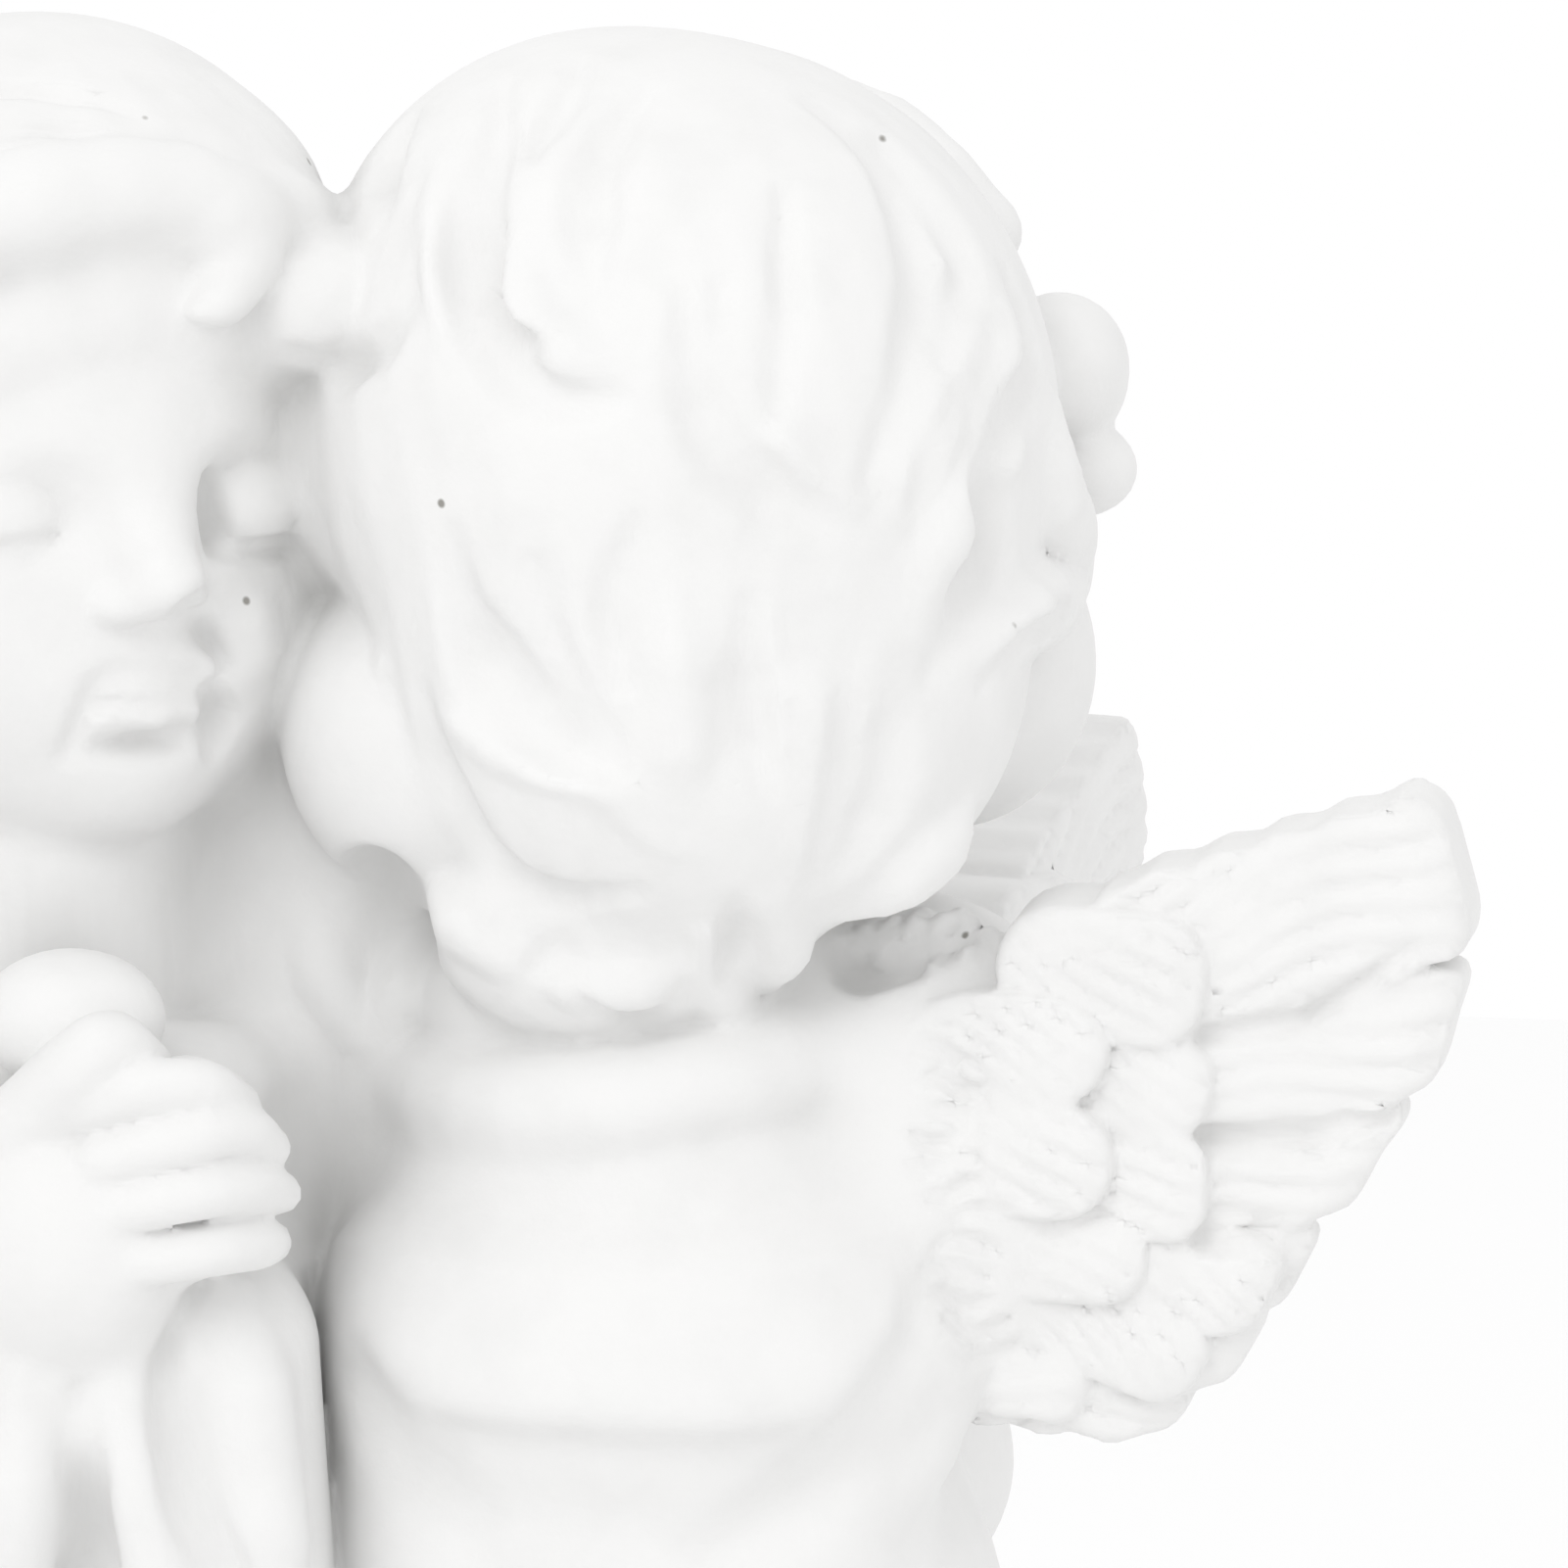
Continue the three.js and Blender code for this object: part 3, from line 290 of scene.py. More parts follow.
# Each foot's place along the base and how far it turns outwards, and the toes
FEET = ((10.5, -0.8), (21, 0.8))
TOES, TOE_PITCH, TOE_SLANT, TOE_SIZE = 5, 1.15, 0.35, (0.75, 1.5, 0.9)


def add_feet(clay):
    """Bare feet that look out under the hem in front."""
    for x, turn in FEET:
        clay.add(limb((x, 14, 9), (x + turn, 19.6, 8.4), 3.6, 3), 1.5)
        for n in range(TOES):
            aside = n - TOES // 2
            toe = (x + turn + TOE_PITCH * aside, 22 - TOE_SLANT * abs(aside), 7.6)
            clay.add(ellipsoid(toe, TOE_SIZE), 0.4)


# Folds and creases seen on the back of one child and on the front of the other: across and up in the view
BACK_RIDGES = [
    [(25, 61), (23.4, 57.6), (20.6, 54.4), (17.4, 51.6)],
    [(3.6, 61.6), (6.4, 59.8), (12, 59.2), (18, 59.8), (21.6, 62)],
]
BACK_CREASES = [
    [(4.6, 57.8), (8.4, 57.2), (14, 56.9), (18.6, 57.5)],
    [(24, 63.4), (22.4, 59.6), (19.2, 56), (15.6, 53.2)],
    [(0.6, 60.8), (2.6, 57.3), (5.8, 54.8)],
    [(2.8, 70.2), (7, 69.6), (12, 69.5), (17, 70.4), (20.4, 72.2)],
]
FRONT_RIDGES = [
    ([(-12.6, 60.4), (-12.6, 55), (-12.8, 48)], 1.4),
    ([(-8.3, 61.4), (-8, 57), (-6.9, 52.6), (-6, 46)], 1.5),
    ([(-4.2, 64.4), (-3.4, 60), (-2.7, 54), (-2.2, 47)], 1.8),
]
FRONT_CREASES = [
    [(-10.2, 61.4), (-10, 57.9), (-9.7, 54.8), (-9.3, 50), (-9.6, 44)],
    [(-6.7, 63), (-6.5, 59.1), (-5.7, 55.5), (-4, 52), (-3.8, 47)],
]
SLEEVE_HEM, SLEEVE_HEM_SLOPE = 43, 0.12


def hanging_sleeve(whole):
    """A sleeve that hangs down and ends flat at its hem."""
    def distance(x, y, z):
        return soft_max(whole.distance(x, y, z), SLEEVE_HEM + SLEEVE_HEM_SLOPE * (x - 6) - z + 0 * y, 0.8)

    return Shape(whole.low, whole.high, distance)


def add_body(clay):
    """Chest, back and shoulders, the two wide sleeves, the neck, and the folds of the cloth."""
    clay.add(ellipsoid((12.6, 0, 65), (12.4, 11, 12)), 3)
    clay.add(ellipsoid((12.8, -5.6, 64), (12.6, 8.6, 7.4)), 3)
    clay.add(limb((4.6, -5, 64), (4.6, -5.6, 50), 5, 6), 2.5)
    clay.add(ellipsoid((19.5, 7, 68), (6, 6.4, 6)), 3)
    clay.add(limb((21, 9, 65), (21.6, 11, 55), 5.2, 6), 3)
    clay.add(limb((21, 11.5, 55), (11, 10.6, 62), 6, 5), 2)
    clay.add(hanging_sleeve(limb((5.4, 9, 64), (6, 9.8, 42), 4.8, 6.8)), 1.5)
    clay.add(ellipsoid((22, 1.5, 69.5), (5, 6, 9)), 2)
    clay.add(ellipsoid((22.6, 1.4, 76), (7, 6.4, 5)), 1.5)
    clay.add(limb((12.6, 0.5, 70), (13.6, 0.5, 90), 7.4, 8), 2)
    for points in BACK_RIDGES:
        clay.add(strand(BEHIND.on(clay, points, -1.2), (0.6, 1.7, 1.7, 0.6)), 2.4)
    for points in BACK_CREASES:
        clay.carve(strand(BEHIND.on(clay, points, 0.5), (0.2, 0.75, 0.75, 0.2)), 2)
    for points, thick in FRONT_RIDGES:
        clay.add(strand(FACING.on(clay, points, 0.1), (0.5, thick, thick, 0.8)), 1.4)
    for points in FRONT_CREASES:
        clay.carve(strand(FACING.on(clay, points, 0.4), (0.3, 0.9, 0.9, 0.5)), 0.8)


def add_collar(clay):
    """The soft rolled collar round the neck."""
    at = np.array(COLLAR["at"])
    turn = np.radians(np.arange(13) * 30)
    ring = np.stack([COLLAR["half_length"] * np.cos(turn), COLLAR["half_width"] * np.sin(turn),
                     COLLAR["drop"] * np.sin(turn) + COLLAR["tilt"] * np.cos(turn)], 1)
    clay.add(ellipsoid(at - (0, 0, 3), (9.6, 10, 5)), 2)
    clay.add(ellipsoid(at + (0, -1.6, 2), (8.4, 6.6, 5)), 1.5)
    clay.add(strand(at + ring, (COLLAR["thick"], COLLAR["thick"]), 2), 0.8)


# The rough hollow between the hair and the wing, across and up in the view
HOLLOW = [(21.4, 77.3), (23.2, 77.8), (25.6, 78.6)]
GRIT_AT, GRIT_COUNT, GRIT_TURN, GRIT_REACH = (23.6, 77.9), 26, 2.4, 1.9
# Rows of down at the wing's root, from the top one
DOWN_AT, DOWN_COUNT, DOWN_PITCH = (23.2, 73.4), 12, 1.1
# Deep lines between the long feathers
FEATHER_EDGES = [
    [(35.3, 74.2), (37.3, 74.6), (39.3, 75), (41.6, 76.5), (43.4, 77.7)],
    [(35.4, 70.1), (38.9, 70.1), (41, 70.4), (42.6, 70.9)],
    [(35.2, 65.9), (37.3, 65.7), (39.1, 65.9)],
]


def add_down(clay):
    """The gritty hollow and the down at the near wing's root, and the lines between its long feathers."""
    clay.carve(strand(BEHIND.on(clay, HOLLOW, 0.2), (1.5, 1.4, 0.8)), 0.5)
    for points in FEATHER_EDGES:
        clay.carve(strand(BEHIND.on(clay, points, 0), (0.55, 0.45, 0.25)), 0.4)
    for n in range(GRIT_COUNT):
        turn, reach = GRIT_TURN * n, 0.3 + GRIT_REACH * math.sqrt(n / GRIT_COUNT)
        across = GRIT_AT[0] + 1.3 * reach * math.cos(turn)
        up = GRIT_AT[1] + 0.5 * reach * math.sin(turn) + 0.1 * math.cos(turn)
        grain = [(across, up), (across + 0.4, up + 0.2)]
        clay.add(strand(BEHIND.on(clay, grain, -0.1), (0.3, 0.42)), 0.1)
    for n in range(DOWN_COUNT):
        up = DOWN_AT[1] - DOWN_PITCH * n
        first = DOWN_AT[0] + 0.5 * math.sin(1.3 * n) + 0.12 * n
        wave = [(first + 0.9 * k, up + 0.35 * math.sin(1.7 * k + 0.8 * n)) for k in range(4)]
        clay.carve(strand(BEHIND.on(clay, wave, 0.05), (0.15, 0.4, 0.4, 0.2)), 0.3)


# Fingers of the folded hands as seen from in front: across, up and out towards the viewer, and thickness
FINGERS = [
    ([(-11, 71.2, 15.4), (-7.5, 72.2, 16.6), (-5, 72.3, 16.2), (-3.6, 71.6, 14)], 1.15),
    ([(-9, 69.4, 16.4), (-5.6, 70.3, 17), (-3.5, 70.6, 15.4), (-2.4, 69.8, 13.4)], 1.1),
    ([(-8.6, 67.4, 16.4), (-5.2, 68.1, 17), (-3.1, 68.3, 15.2), (-2, 68, 13.2)], 1.1),
    ([(-8.4, 65.2, 16), (-4.8, 65.8, 16.4), (-3, 66, 14.6), (-2.4, 66, 13)], 1.1),
]
THUMB = [(-12.6, 70.6, 14.8), (-9.9, 73.2, 16.2), (-8.6, 74, 16), (-7.2, 73.2, 15)]


def add_hands(clay):
    """Folded hands on the chest: one hand, the other above it, the forearm, a thumb and four fingers."""
    clay.add(ellipsoid(FACING.at(-10.6, 66.4, 13.4), (5, 4.3, 5.8)), 1.2)
    clay.add(ellipsoid(FACING.at(-5.8, 69, 13.6), (3.6, 2.8, 4.6)), 0.8)
    clay.add(ellipsoid(FACING.at(-10.4, 75, 12), (3.8, 3.2, 2.8)), 0.8)
    clay.add(limb(FACING.at(-14, 64, 10), FACING.at(-19, 60, 7), 4.4, 5.4), 2)
    clay.add(strand([FACING.at(*p) for p in THUMB], (1.6, 1.5, 1.4, 1)), 0.4)
    for points, thick in FINGERS:
        clay.add(strand([FACING.at(*p) for p in points], (thick, thick, thick, 0.85)), 0.35)


# Feathers of one wing in its own plane: root and tip along the wing and up, half width at both, bluntness,
# lift and how far the end slants
FEATHERS = [
    ((10.6, 79.0), (23.6, 84.0), 4.0, 3.3, 0.9, 1.5, 0.1),
    ((10.6, 75.1), (24.0, 77.2), 2.7, 2.8, 0.9, 1.0, 0.55),
    ((10.5, 70.9), (21.2, 71.6), 2.5, 2.5, 0.9, 0.55, 0.7),
    ((8.5, 66.4), (17.9, 66.9), 2.3, 2.1, 0.8, 0.15, 0.7),
    ((7.0, 63.4), (15.8, 63.6), 2.2, 1.9, 0.8, 0.05, 0.7),
    ((3.0, 62.2), (12.8, 60.9), 2.1, 1.8, 1.0, -0.1, 0.5),
    ((7.4, 75.0), (13.5, 74.7), 2.2, 2.4, 1.2, 2.2, 0),
    ((7.4, 70.6), (13.3, 70.5), 2.2, 2.5, 1.0, 2.1, 0),
    ((9.0, 67.2), (16.3, 66.0), 2.0, 2.3, 0.9, 1.7, 0.3),
    ((7.2, 64.6), (13.2, 62.6), 1.8, 1.9, 0.9, 1.6, 0.2),
    ((5.6, 79.5), (13.3, 78.8), 2.6, 2.9, 1.5, 2.6, 0),
    ((4.6, 67.4), (11.0, 67.3), 1.9, 1.9, 1.1, 2.1, 0.1),
    ((1.8, 76.2), (9.4, 76.0), 2.2, 2.4, 1.6, 2.8, 0),
    ((2.0, 71.8), (9.6, 71.4), 2.4, 2.6, 1.6, 2.8, 0),
    ((2.4, 62.4), (8.6, 61.4), 1.4, 1.5, 1.0, 0.8, 0.2),
]
# The barbs' distance apart, their depth, and how they slant, wander and bend along a feather
BARB_PITCH, BARB_DEPTH, BARB_WANDER, BARB_BEND = 1.2, 0.34, 0.35, 0.012
PRIMARY_SLANT, COVERT_SLANT = -0.18, 0.5
# Feathers lifted more than this are coverts: they sink in at the root, and the others have wavy edges
COVERT_LIFT, COVERT_SINK, EDGE_WAVE = 1.58, 0.9, 0.12
FEATHER_DOME, TIP_BEVEL, TIP_BEVEL_REACH = 0.3, 0.45, 1.3


def add_wing(clay, root, turn, drop=0.0):
    """A wing that stands out from its root at this turn in plan: two lumps at the root and its feathers."""
    c, s = math.cos(math.radians(turn)), math.sin(math.radians(turn))
    axes = Frame((0, 0, 0), turn + 90).axes

    def plan(u, z, out=0.0):
        return np.array([root[0] + c * u - s * out, root[1] + s * u + c * out, z - drop])

    clay.add(ellipsoid(plan(4, 70.6, 0), (9.5, 2.6, 9.6), axes), 2.5)
    clay.add(ellipsoid(plan(0.6, 71, 0), (5, 3.6, 8), axes), 3)
    for number, (base, tip, root_half, tip_half, blunt, lift, shear) in enumerate(FEATHERS):
        base, tip = np.array(base), np.array(tip)
        length = np.hypot(*(tip - base))
        along = (tip - base) / length
        slant = COVERT_SLANT if lift > COVERT_LIFT else PRIMARY_SLANT

        def distance(x, y, z):
            dx, dy, z = x - root[0], y - root[1], z + drop
            u, out = dx * c + dy * s, np.abs(dy * c - dx * s)
            run = (u - base[0]) * along[0] + (z - base[1]) * along[1]
            across = (z - base[1]) * along[0] - (u - base[0]) * along[1]
            t = np.clip(run / length, 0, 1)
            half = root_half + (tip_half - root_half) * t
            end = run - length - shear * (across - 0.6 * half)
            flat = soft_max(np.abs(across) - half, np.maximum(end, -1 - run), 2 * blunt)
            flat = flat + EDGE_WAVE * np.sin(2.4 * run + 1.7 * number) * (lift <= COVERT_LIFT)
            wander = BARB_WANDER * np.sin(0.6 * run + 1.9 * number)
            line = across + slant * run + wander + BARB_BEND * run * run
            barb = (0.5 + 0.5 * np.cos(2 * math.pi * line / (BARB_PITCH * (0.85 + 0.03 * run)))) ** 2
            barb = barb * (0.72 + 0.28 * np.sin(0.9 * across - 0.55 * run + 2.3 * number))
            dome = FEATHER_DOME * (1 - np.clip(across / half, -1, 1) ** 2) - 0.4 * FEATHER_DOME
            bevel = TIP_BEVEL * np.clip(end + TIP_BEVEL_REACH, 0, TIP_BEVEL_REACH)
            bevel = bevel + COVERT_SINK * (1 - t) * (lift > COVERT_LIFT)
            face = out - WING_THICK - lift - dome + bevel + BARB_DEPTH * barb * np.clip(-flat, 0, 0.4) / 0.4
            return soft_max(flat, face, 0.3)

        reach = max(root_half, tip_half) + 1
        ends = [plan(u, z, out) for u, z in (base, tip) for out in (-4, 4)]
        low, high = np.min(ends, 0) - (reach, reach, reach), np.max(ends, 0) + (reach, reach, reach)
        clay.add(Shape(low, high, distance), 0.06)


# Grooves and locks on the back of the rear-facing head: path across and up in the view, and thickness
HAIR_GROOVES = [
    ([(6.9, 112.4), (6.6, 110), (5.8, 107.2), (5.8, 104), (6.9, 101.2), (9, 99.6), (11.6, 99.5)], 1.3),
    ([(7, 106.1), (7, 104), (7.5, 102.6), (8.4, 101.6)], 0.6),
    ([(10.1, 113.3), (9.2, 111.4), (8.2, 109.6)], 0.6),
    ([(12.8, 112.1), (11, 109.8), (10.4, 106.8), (10.8, 103.6)], 1.1),
    ([(14.2, 103.4), (14.7, 100), (16.2, 97.3), (18.4, 95.4), (21, 94.1)], 1.4),
    ([(15.6, 104), (15.8, 101.6), (16.6, 99.8), (17.4, 98.4)], 0.5),
    ([(18.2, 107.8), (18.3, 103), (18, 99.4)], 0.5),
    ([(19.4, 111.7), (22, 109.6), (23.4, 107), (23.9, 103.8), (23.2, 100.6), (21.6, 96.4)], 1.2),
    ([(22.1, 110.1), (24.3, 107.4), (25.5, 105.2), (25.2, 103.2), (24.6, 101.4)], 0.8),
    ([(27.2, 104.8), (28.2, 101.4), (28.1, 98.6), (27.3, 96.4), (26.4, 94), (25.4, 91), (24.1, 88.6)], 1.7),
    ([(25.4, 100.2), (24.7, 97.9), (23.4, 95.6)], 0.7),
    ([(16.9, 91.4), (16.8, 88.4), (17, 86), (17.5, 84.1)], 1),
    ([(12.2, 94.4), (11.4, 91.4), (11.8, 88.4)], 0.7),
    ([(8.2, 93), (8.6, 90.2), (9.8, 88), (11.4, 86.2)], 0.8),
    ([(4.8, 94), (5.3, 91.2), (6.6, 88.8), (8.3, 87), (10.2, 85.5), (11.6, 84.8)], 1.6),
    ([(3.5, 88), (3.9, 85.9), (4.8, 83.6), (6.2, 81.2), (8.8, 80), (12.2, 80)], 1.2),
    ([(22.2, 88.8), (22.7, 86.2), (22, 83), (20, 80.4)], 1.2),
    ([(20.4, 87.4), (20.7, 84.8), (20.2, 82.1), (19, 80)], 0.9),
    ([(16.1, 79.5), (16.3, 78.1), (15.9, 76.8)], 0.7),
    ([(8.3, 76.6), (8.7, 77.3), (9.4, 77.6)], 0.7),
    ([(9.8, 75.5), (11.5, 74.9), (12.9, 75.1)], 0.5),
    ([(3, 111.3), (2.2, 109.4), (2.2, 107.6)], 0.9),
    ([(-1.4, 101.6), (0.4, 101), (2.2, 102), (3.2, 103.8)], 0.8),
]
HAIR_LOCKS = [
    ([(8, 106.2), (7.9, 103.9), (8.6, 102.1), (10.2, 101.1), (12.4, 100.8)], 1.7),
    ([(15.2, 102.9), (15.8, 100.2), (16.9, 98.2), (18.6, 96.7), (20.8, 95.7)], 1.3),
    ([(26.8, 103), (26.9, 100.4), (26.3, 98.1), (25.1, 95.7), (23.8, 93.4), (23.1, 90.6)], 1.9),
    ([(24.9, 100.8), (24.4, 98.8), (23.3, 96.7), (22.2, 94.9)], 1.1),
    ([(28.8, 99.6), (28.8, 96), (28.7, 93), (27.6, 91.2), (25.9, 89.5)], 2.1),
    ([(2.4, 89.2), (2.7, 85.4), (3.5, 82), (4.9, 79.4), (7, 77.7), (9, 77.7)], 1.5),
    ([(5.3, 86.9), (6.5, 85.9), (8.8, 85), (10.9, 84.6), (12.4, 83), (13.7, 82)], 0.9),
    ([(8.9, 76.7), (10.4, 76.3), (12.4, 76.5), (13.9, 77.2)], 1.2),
    ([(13.9, 92.2), (14, 89.1), (14.1, 86), (14.4, 84)], 1.5),
    ([(17.2, 91.4), (17.2, 88.3), (17.8, 85.8)], 0.9),
    ([(18.2, 88.8), (19.3, 87.7), (19.7, 85.6), (19.5, 82.9), (18.6, 80.5)], 1.1),
    ([(21.6, 89.2), (21.9, 86.7), (21.5, 84.4), (20.9, 83.2)], 1.1),
    ([(25.2, 83.6), (23.4, 81.5), (20.8, 79.4)], 1.7),
    ([(15.1, 78.6), (15.1, 76.8), (16.1, 75.4), (17.8, 74.9)], 0.9),
    ([(17.8, 80), (18.2, 78.2), (17.8, 76.6)], 1.2),
    ([(4.6, 109), (4.5, 105.6), (5, 102.4)], 0.9),
]
# A crease at the right edge of the hair and a small hole at the nape
EDGE_CREASE = [(29.8, 91.3), (28, 89.8), (26.2, 88.3)]
NAPE_HOLE = [(17.1, 75.8), (17.6, 75.6)]
# The rolled fringe, its pointed end and the hair beside it, in the head's frame: path, thickness and blend
FRINGE = [
    ([(14, 3.6, 7.4), (11, 8.8, 11.2), (5, 11.4, 13.2), (-1, 12, 13.4), (-4.4, 12.2, 12.2)],
     (1.8, 2.3, 2.3, 2.1, 1.7), 1.2),
    ([(-3.4, 12.6, 12.4), (-4, 13, 10.8), (-3, 13.6, 9.4), (-1.8, 13.8, 8.9)], (1.7, 1.6, 1.2, 0.5), 0.8),
    ([(-4, 12, 12.4), (-7.6, 10.4, 11.6), (-11, 8, 9.6), (-13.4, 5, 7.4)], (1.4, 1.5, 1.5, 1.4), 1),
]
# Grooves on the fringe as seen from in front: path across and up, and thickness
FRINGE_GROOVES = [
    ([(-19, 110), (-14, 110.6), (-9, 110.4)], 0.5),
    ([(-17, 112), (-12, 112.2), (-8, 111.4)], 0.5),
]
# Lobes of curled hair at the temple next to the other child and at the outer one: place, size and blend
INNER_CURLS = [
    ((-14.2, -1.2, 8.4), (3.8, 4.6, 3.2), 0.5),
    ((-14.3, 1.4, 2), (3, 4.2, 5.4), 1.5),
]
OUTER_CURLS = [
    ((16.6, 3, 1.4), (2.8, 3.8, 3.2), 0.8),
    ((16.9, 3.4, -2.8), (2.4, 3.2, 2), 0.6),
]
COMB_LOCKS, COMB_DEPTH = 34, 0.035


def add_hair(clay, head):
    """The cap of hair with its masses, fringe and curls, and the locks and grooves seen from behind."""
    behind = BEHIND.moved(REAR_HEAD, head)
    cap = ellipsoid(head.at(0, -0.6, 1.4), HAIR, head.axes)
    c, s = math.cos(math.radians(HAIRLINE_SLOPE)), math.sin(math.radians(HAIRLINE_SLOPE))

    def distance(x, y, z):
        _, forward, up = head.local(x, y, z)
        return soft_max(cap.distance(x, y, z), forward * c - up * s - HAIRLINE_REACH, 2)

    clay.add(Shape(cap.low, cap.high, distance), 0.6)
    clay.add(ellipsoid(head.at(-3, 0.6, 6.6), (10, 11, 10.6), head.axes), 3)
    clay.add(ellipsoid(head.at(-1, 5.5, 11.5), (9.5, 7, 4.8), head.axes), 2)
    clay.add(ellipsoid(head.at(-0.6, -5, -8.6), (12.8, 9.4, 11), head.axes), 3)
    clay.add(ellipsoid(behind.at(11.8, 79.6, 6.2), (8.2, 5.4, 5.6), head.axes), 1.5)
    for points, radii, blend in FRINGE:
        clay.add(strand([head.at(*p) for p in points], radii), blend)
    curls = INNER_CURLS + OUTER_CURLS if head is REAR_HEAD else OUTER_CURLS
    for place, size, blend in curls:
        clay.add(ellipsoid(head.at(*place), size, head.axes), blend)
    for points, thick in HAIR_LOCKS:
        clay.add(strand(behind.on(clay, points, -0.4 * thick), (0.6, thick, thick, 0.5)), 0.6)
    for points, thick in HAIR_GROOVES:
        clay.carve(strand(behind.on(clay, points, 0.15 * thick), (0.2, thick, thick, 0.2)), 0.9)
    clay.carve(strand(behind.on(clay, EDGE_CREASE, 0.1), (0.7, 0.8, 0.3)), 0.4)
    clay.carve(strand(behind.on(clay, NAPE_HOLE, -0.5), (0.5, 0.4)), 0.2)
    facing = FACING.moved(FRONT_HEAD, head)
    for points, thick in FRINGE_GROOVES:
        clay.carve(strand(facing.on(clay, points, 0.1), (0.2, thick, thick, 0.2)), 0.4)
    comb(clay, head)


def comb(clay, head):
    """Lays fine strands on the hair, which run down from the crown on every side."""
    x, y, z = clay.ticks
    side, forward, up = head.local(x[:, None, None], y[None, :, None], z[None, None, :])
    around = np.arctan2(side + 1.5, forward + 3)
    reach = np.hypot(side + 1.5, forward + 3)
    wander = 1.6 * np.sin(2 * around + 0.22 * up + 0.6) + 1.1 * np.sin(5 * around - 0.31 * up)
    strands = np.sin(COMB_LOCKS * around + wander) + 0.6 * np.sin(0.43 * COMB_LOCKS * around - 2 * wander + 1)
    clay.values += (COMB_DEPTH * np.clip((reach - 3) / 6, 0, 1) * strands).astype(np.float32)


# Creases of the face as seen on the front-facing child, at the mouth, the nostril and the eyes: path,
# thickness and lift
FACE_CREASES = [
    ([(-10.5, 85.6), (-9.7, 87.5), (-8.9, 88.5), (-7.2, 88.7), (-5.4, 88.6)], (0.3, 0.5, 0.35), 0.1),
    ([(-4.8, 88.1), (-4.6, 87), (-4.7, 85.9)], (0.5, 0.9, 0.5), -0.2),
    ([(-5.5, 91.4), (-5.1, 90.5), (-4.3, 89.3)], (0.7, 0.6, 0.25), -0.3),
    ([(-1.2, 95.1), (-0.9, 93.9)], (0.6, 0.3), 0.1),
    ([(-4.8, 93.8), (-3.1, 93.6), (-1.4, 93.8)], (0.2, 0.25, 0.2), 0.05),
    ([(-13.8, 93.6), (-12.2, 93.9), (-10.9, 94.3)], (0.3, 0.3, 0.15), 0.05),
    ([(-5.1, 96.6), (-4.8, 94.5)], (0.4, 0.7), -0.2),
]
CHEEK_APPLE = [(-3.6, 91), (-3.4, 90)]
# The lips and the line between them, in the head's own frame
UPPER_LIP = [(-3.1, 12.6, -7), (-1.4, 13.8, -6.4), (-0.4, 13.9, -6.6), (0.6, 13.8, -6.4), (2.2, 12.7, -7)]
LOWER_LIP = [(-2.6, 12.7, -7.7), (-0.4, 13.7, -7.85), (1.8, 12.7, -7.7)]
MOUTH_LINE = [(-2.9, 13.9, -7.1), (-1.4, 14.6, -7), (-0.4, 14.7, -7.1), (0.6, 14.6, -7), (2, 13.9, -7.1)]


def add_face(clay, head):
    """A sleeping child's face: jowls, chin and cheeks, closed eyes, a small nose and a small mouth."""
    def blob(at, size, blend):
        clay.add(ellipsoid(head.at(*at), size, head.axes), blend)

    def bar(points, radii):
        return strand([head.at(*p) for p in points], radii)

    blob((0, 0.6, 0.6), (13.4, 13.6, 14.6), 1)
    blob((0, 4.4, -7.4), (12.6, 9.2, 7.8), 3)
    blob((-0.3, 9.9, -10.7), (4, 3.4, 3.1), 2)
    blob((0, 10.7, -6.6), (4.8, 3.1, 3), 2)
    for hand in (-1, 1):
        blob((7.2 * hand, 8.8, -5.4), (4, 3.4, 3.6), 2.5)
        clay.carve(ellipsoid(head.at(4.9 * hand, 15, 0.9), (3.2, 2.9, 2.5), head.axes), 1.4)
        add_eye(clay, head, hand)
        blob((1.5 * hand, 13.9, -2.9), (1.1, 1.2, 0.9), 0.5)
    clay.add(bar([(0, 11.6, 3.4), (0, 13.1, 0.8), (0, 15.5, -1.7)], (1.7, 1.5, 1.5)), 1.6)
    clay.add(bar(UPPER_LIP, (0.2, 0.55, 0.55, 0.2)), 0.5)
    clay.add(bar(LOWER_LIP, (0.3, 0.8, 0.3)), 0.4)
    clay.carve(bar(MOUTH_LINE, (0.3, 0.42, 0.42, 0.3)), 0.3)
    clay.carve(ellipsoid(head.at(-0.4, 13.7, -8.9), (2.4, 1, 0.5), head.axes), 1)
    blob((10, 2.2, -9.6), (6.4, 6.4, 7), 1.5)
    facing = FACING.moved(FRONT_HEAD, head)
    for points, radii, lift in FACE_CREASES:
        clay.carve(strand(facing.on(clay, points, lift), radii), 0.3 + 0.6 * max(radii))
    clay.add(strand(facing.on(clay, CHEEK_APPLE, -0.8), (1.1, 1)), 1)
    if head is REAR_HEAD:
        blob((-11.2, 0.2, -9.6), (6.4, 6.6, 7.2), 1.5)
    else:
        blob((-9.4, 1.6, -9.4), (5.4, 5.4, 6.4), 2)


EYE = dict(apart=5.4, up=0.2, size=(3.2, 2.6, 2.4), lash=-0.9)
INNER_EYE_FORWARD, OUTER_EYE_FORWARD = 10.9, 10.5


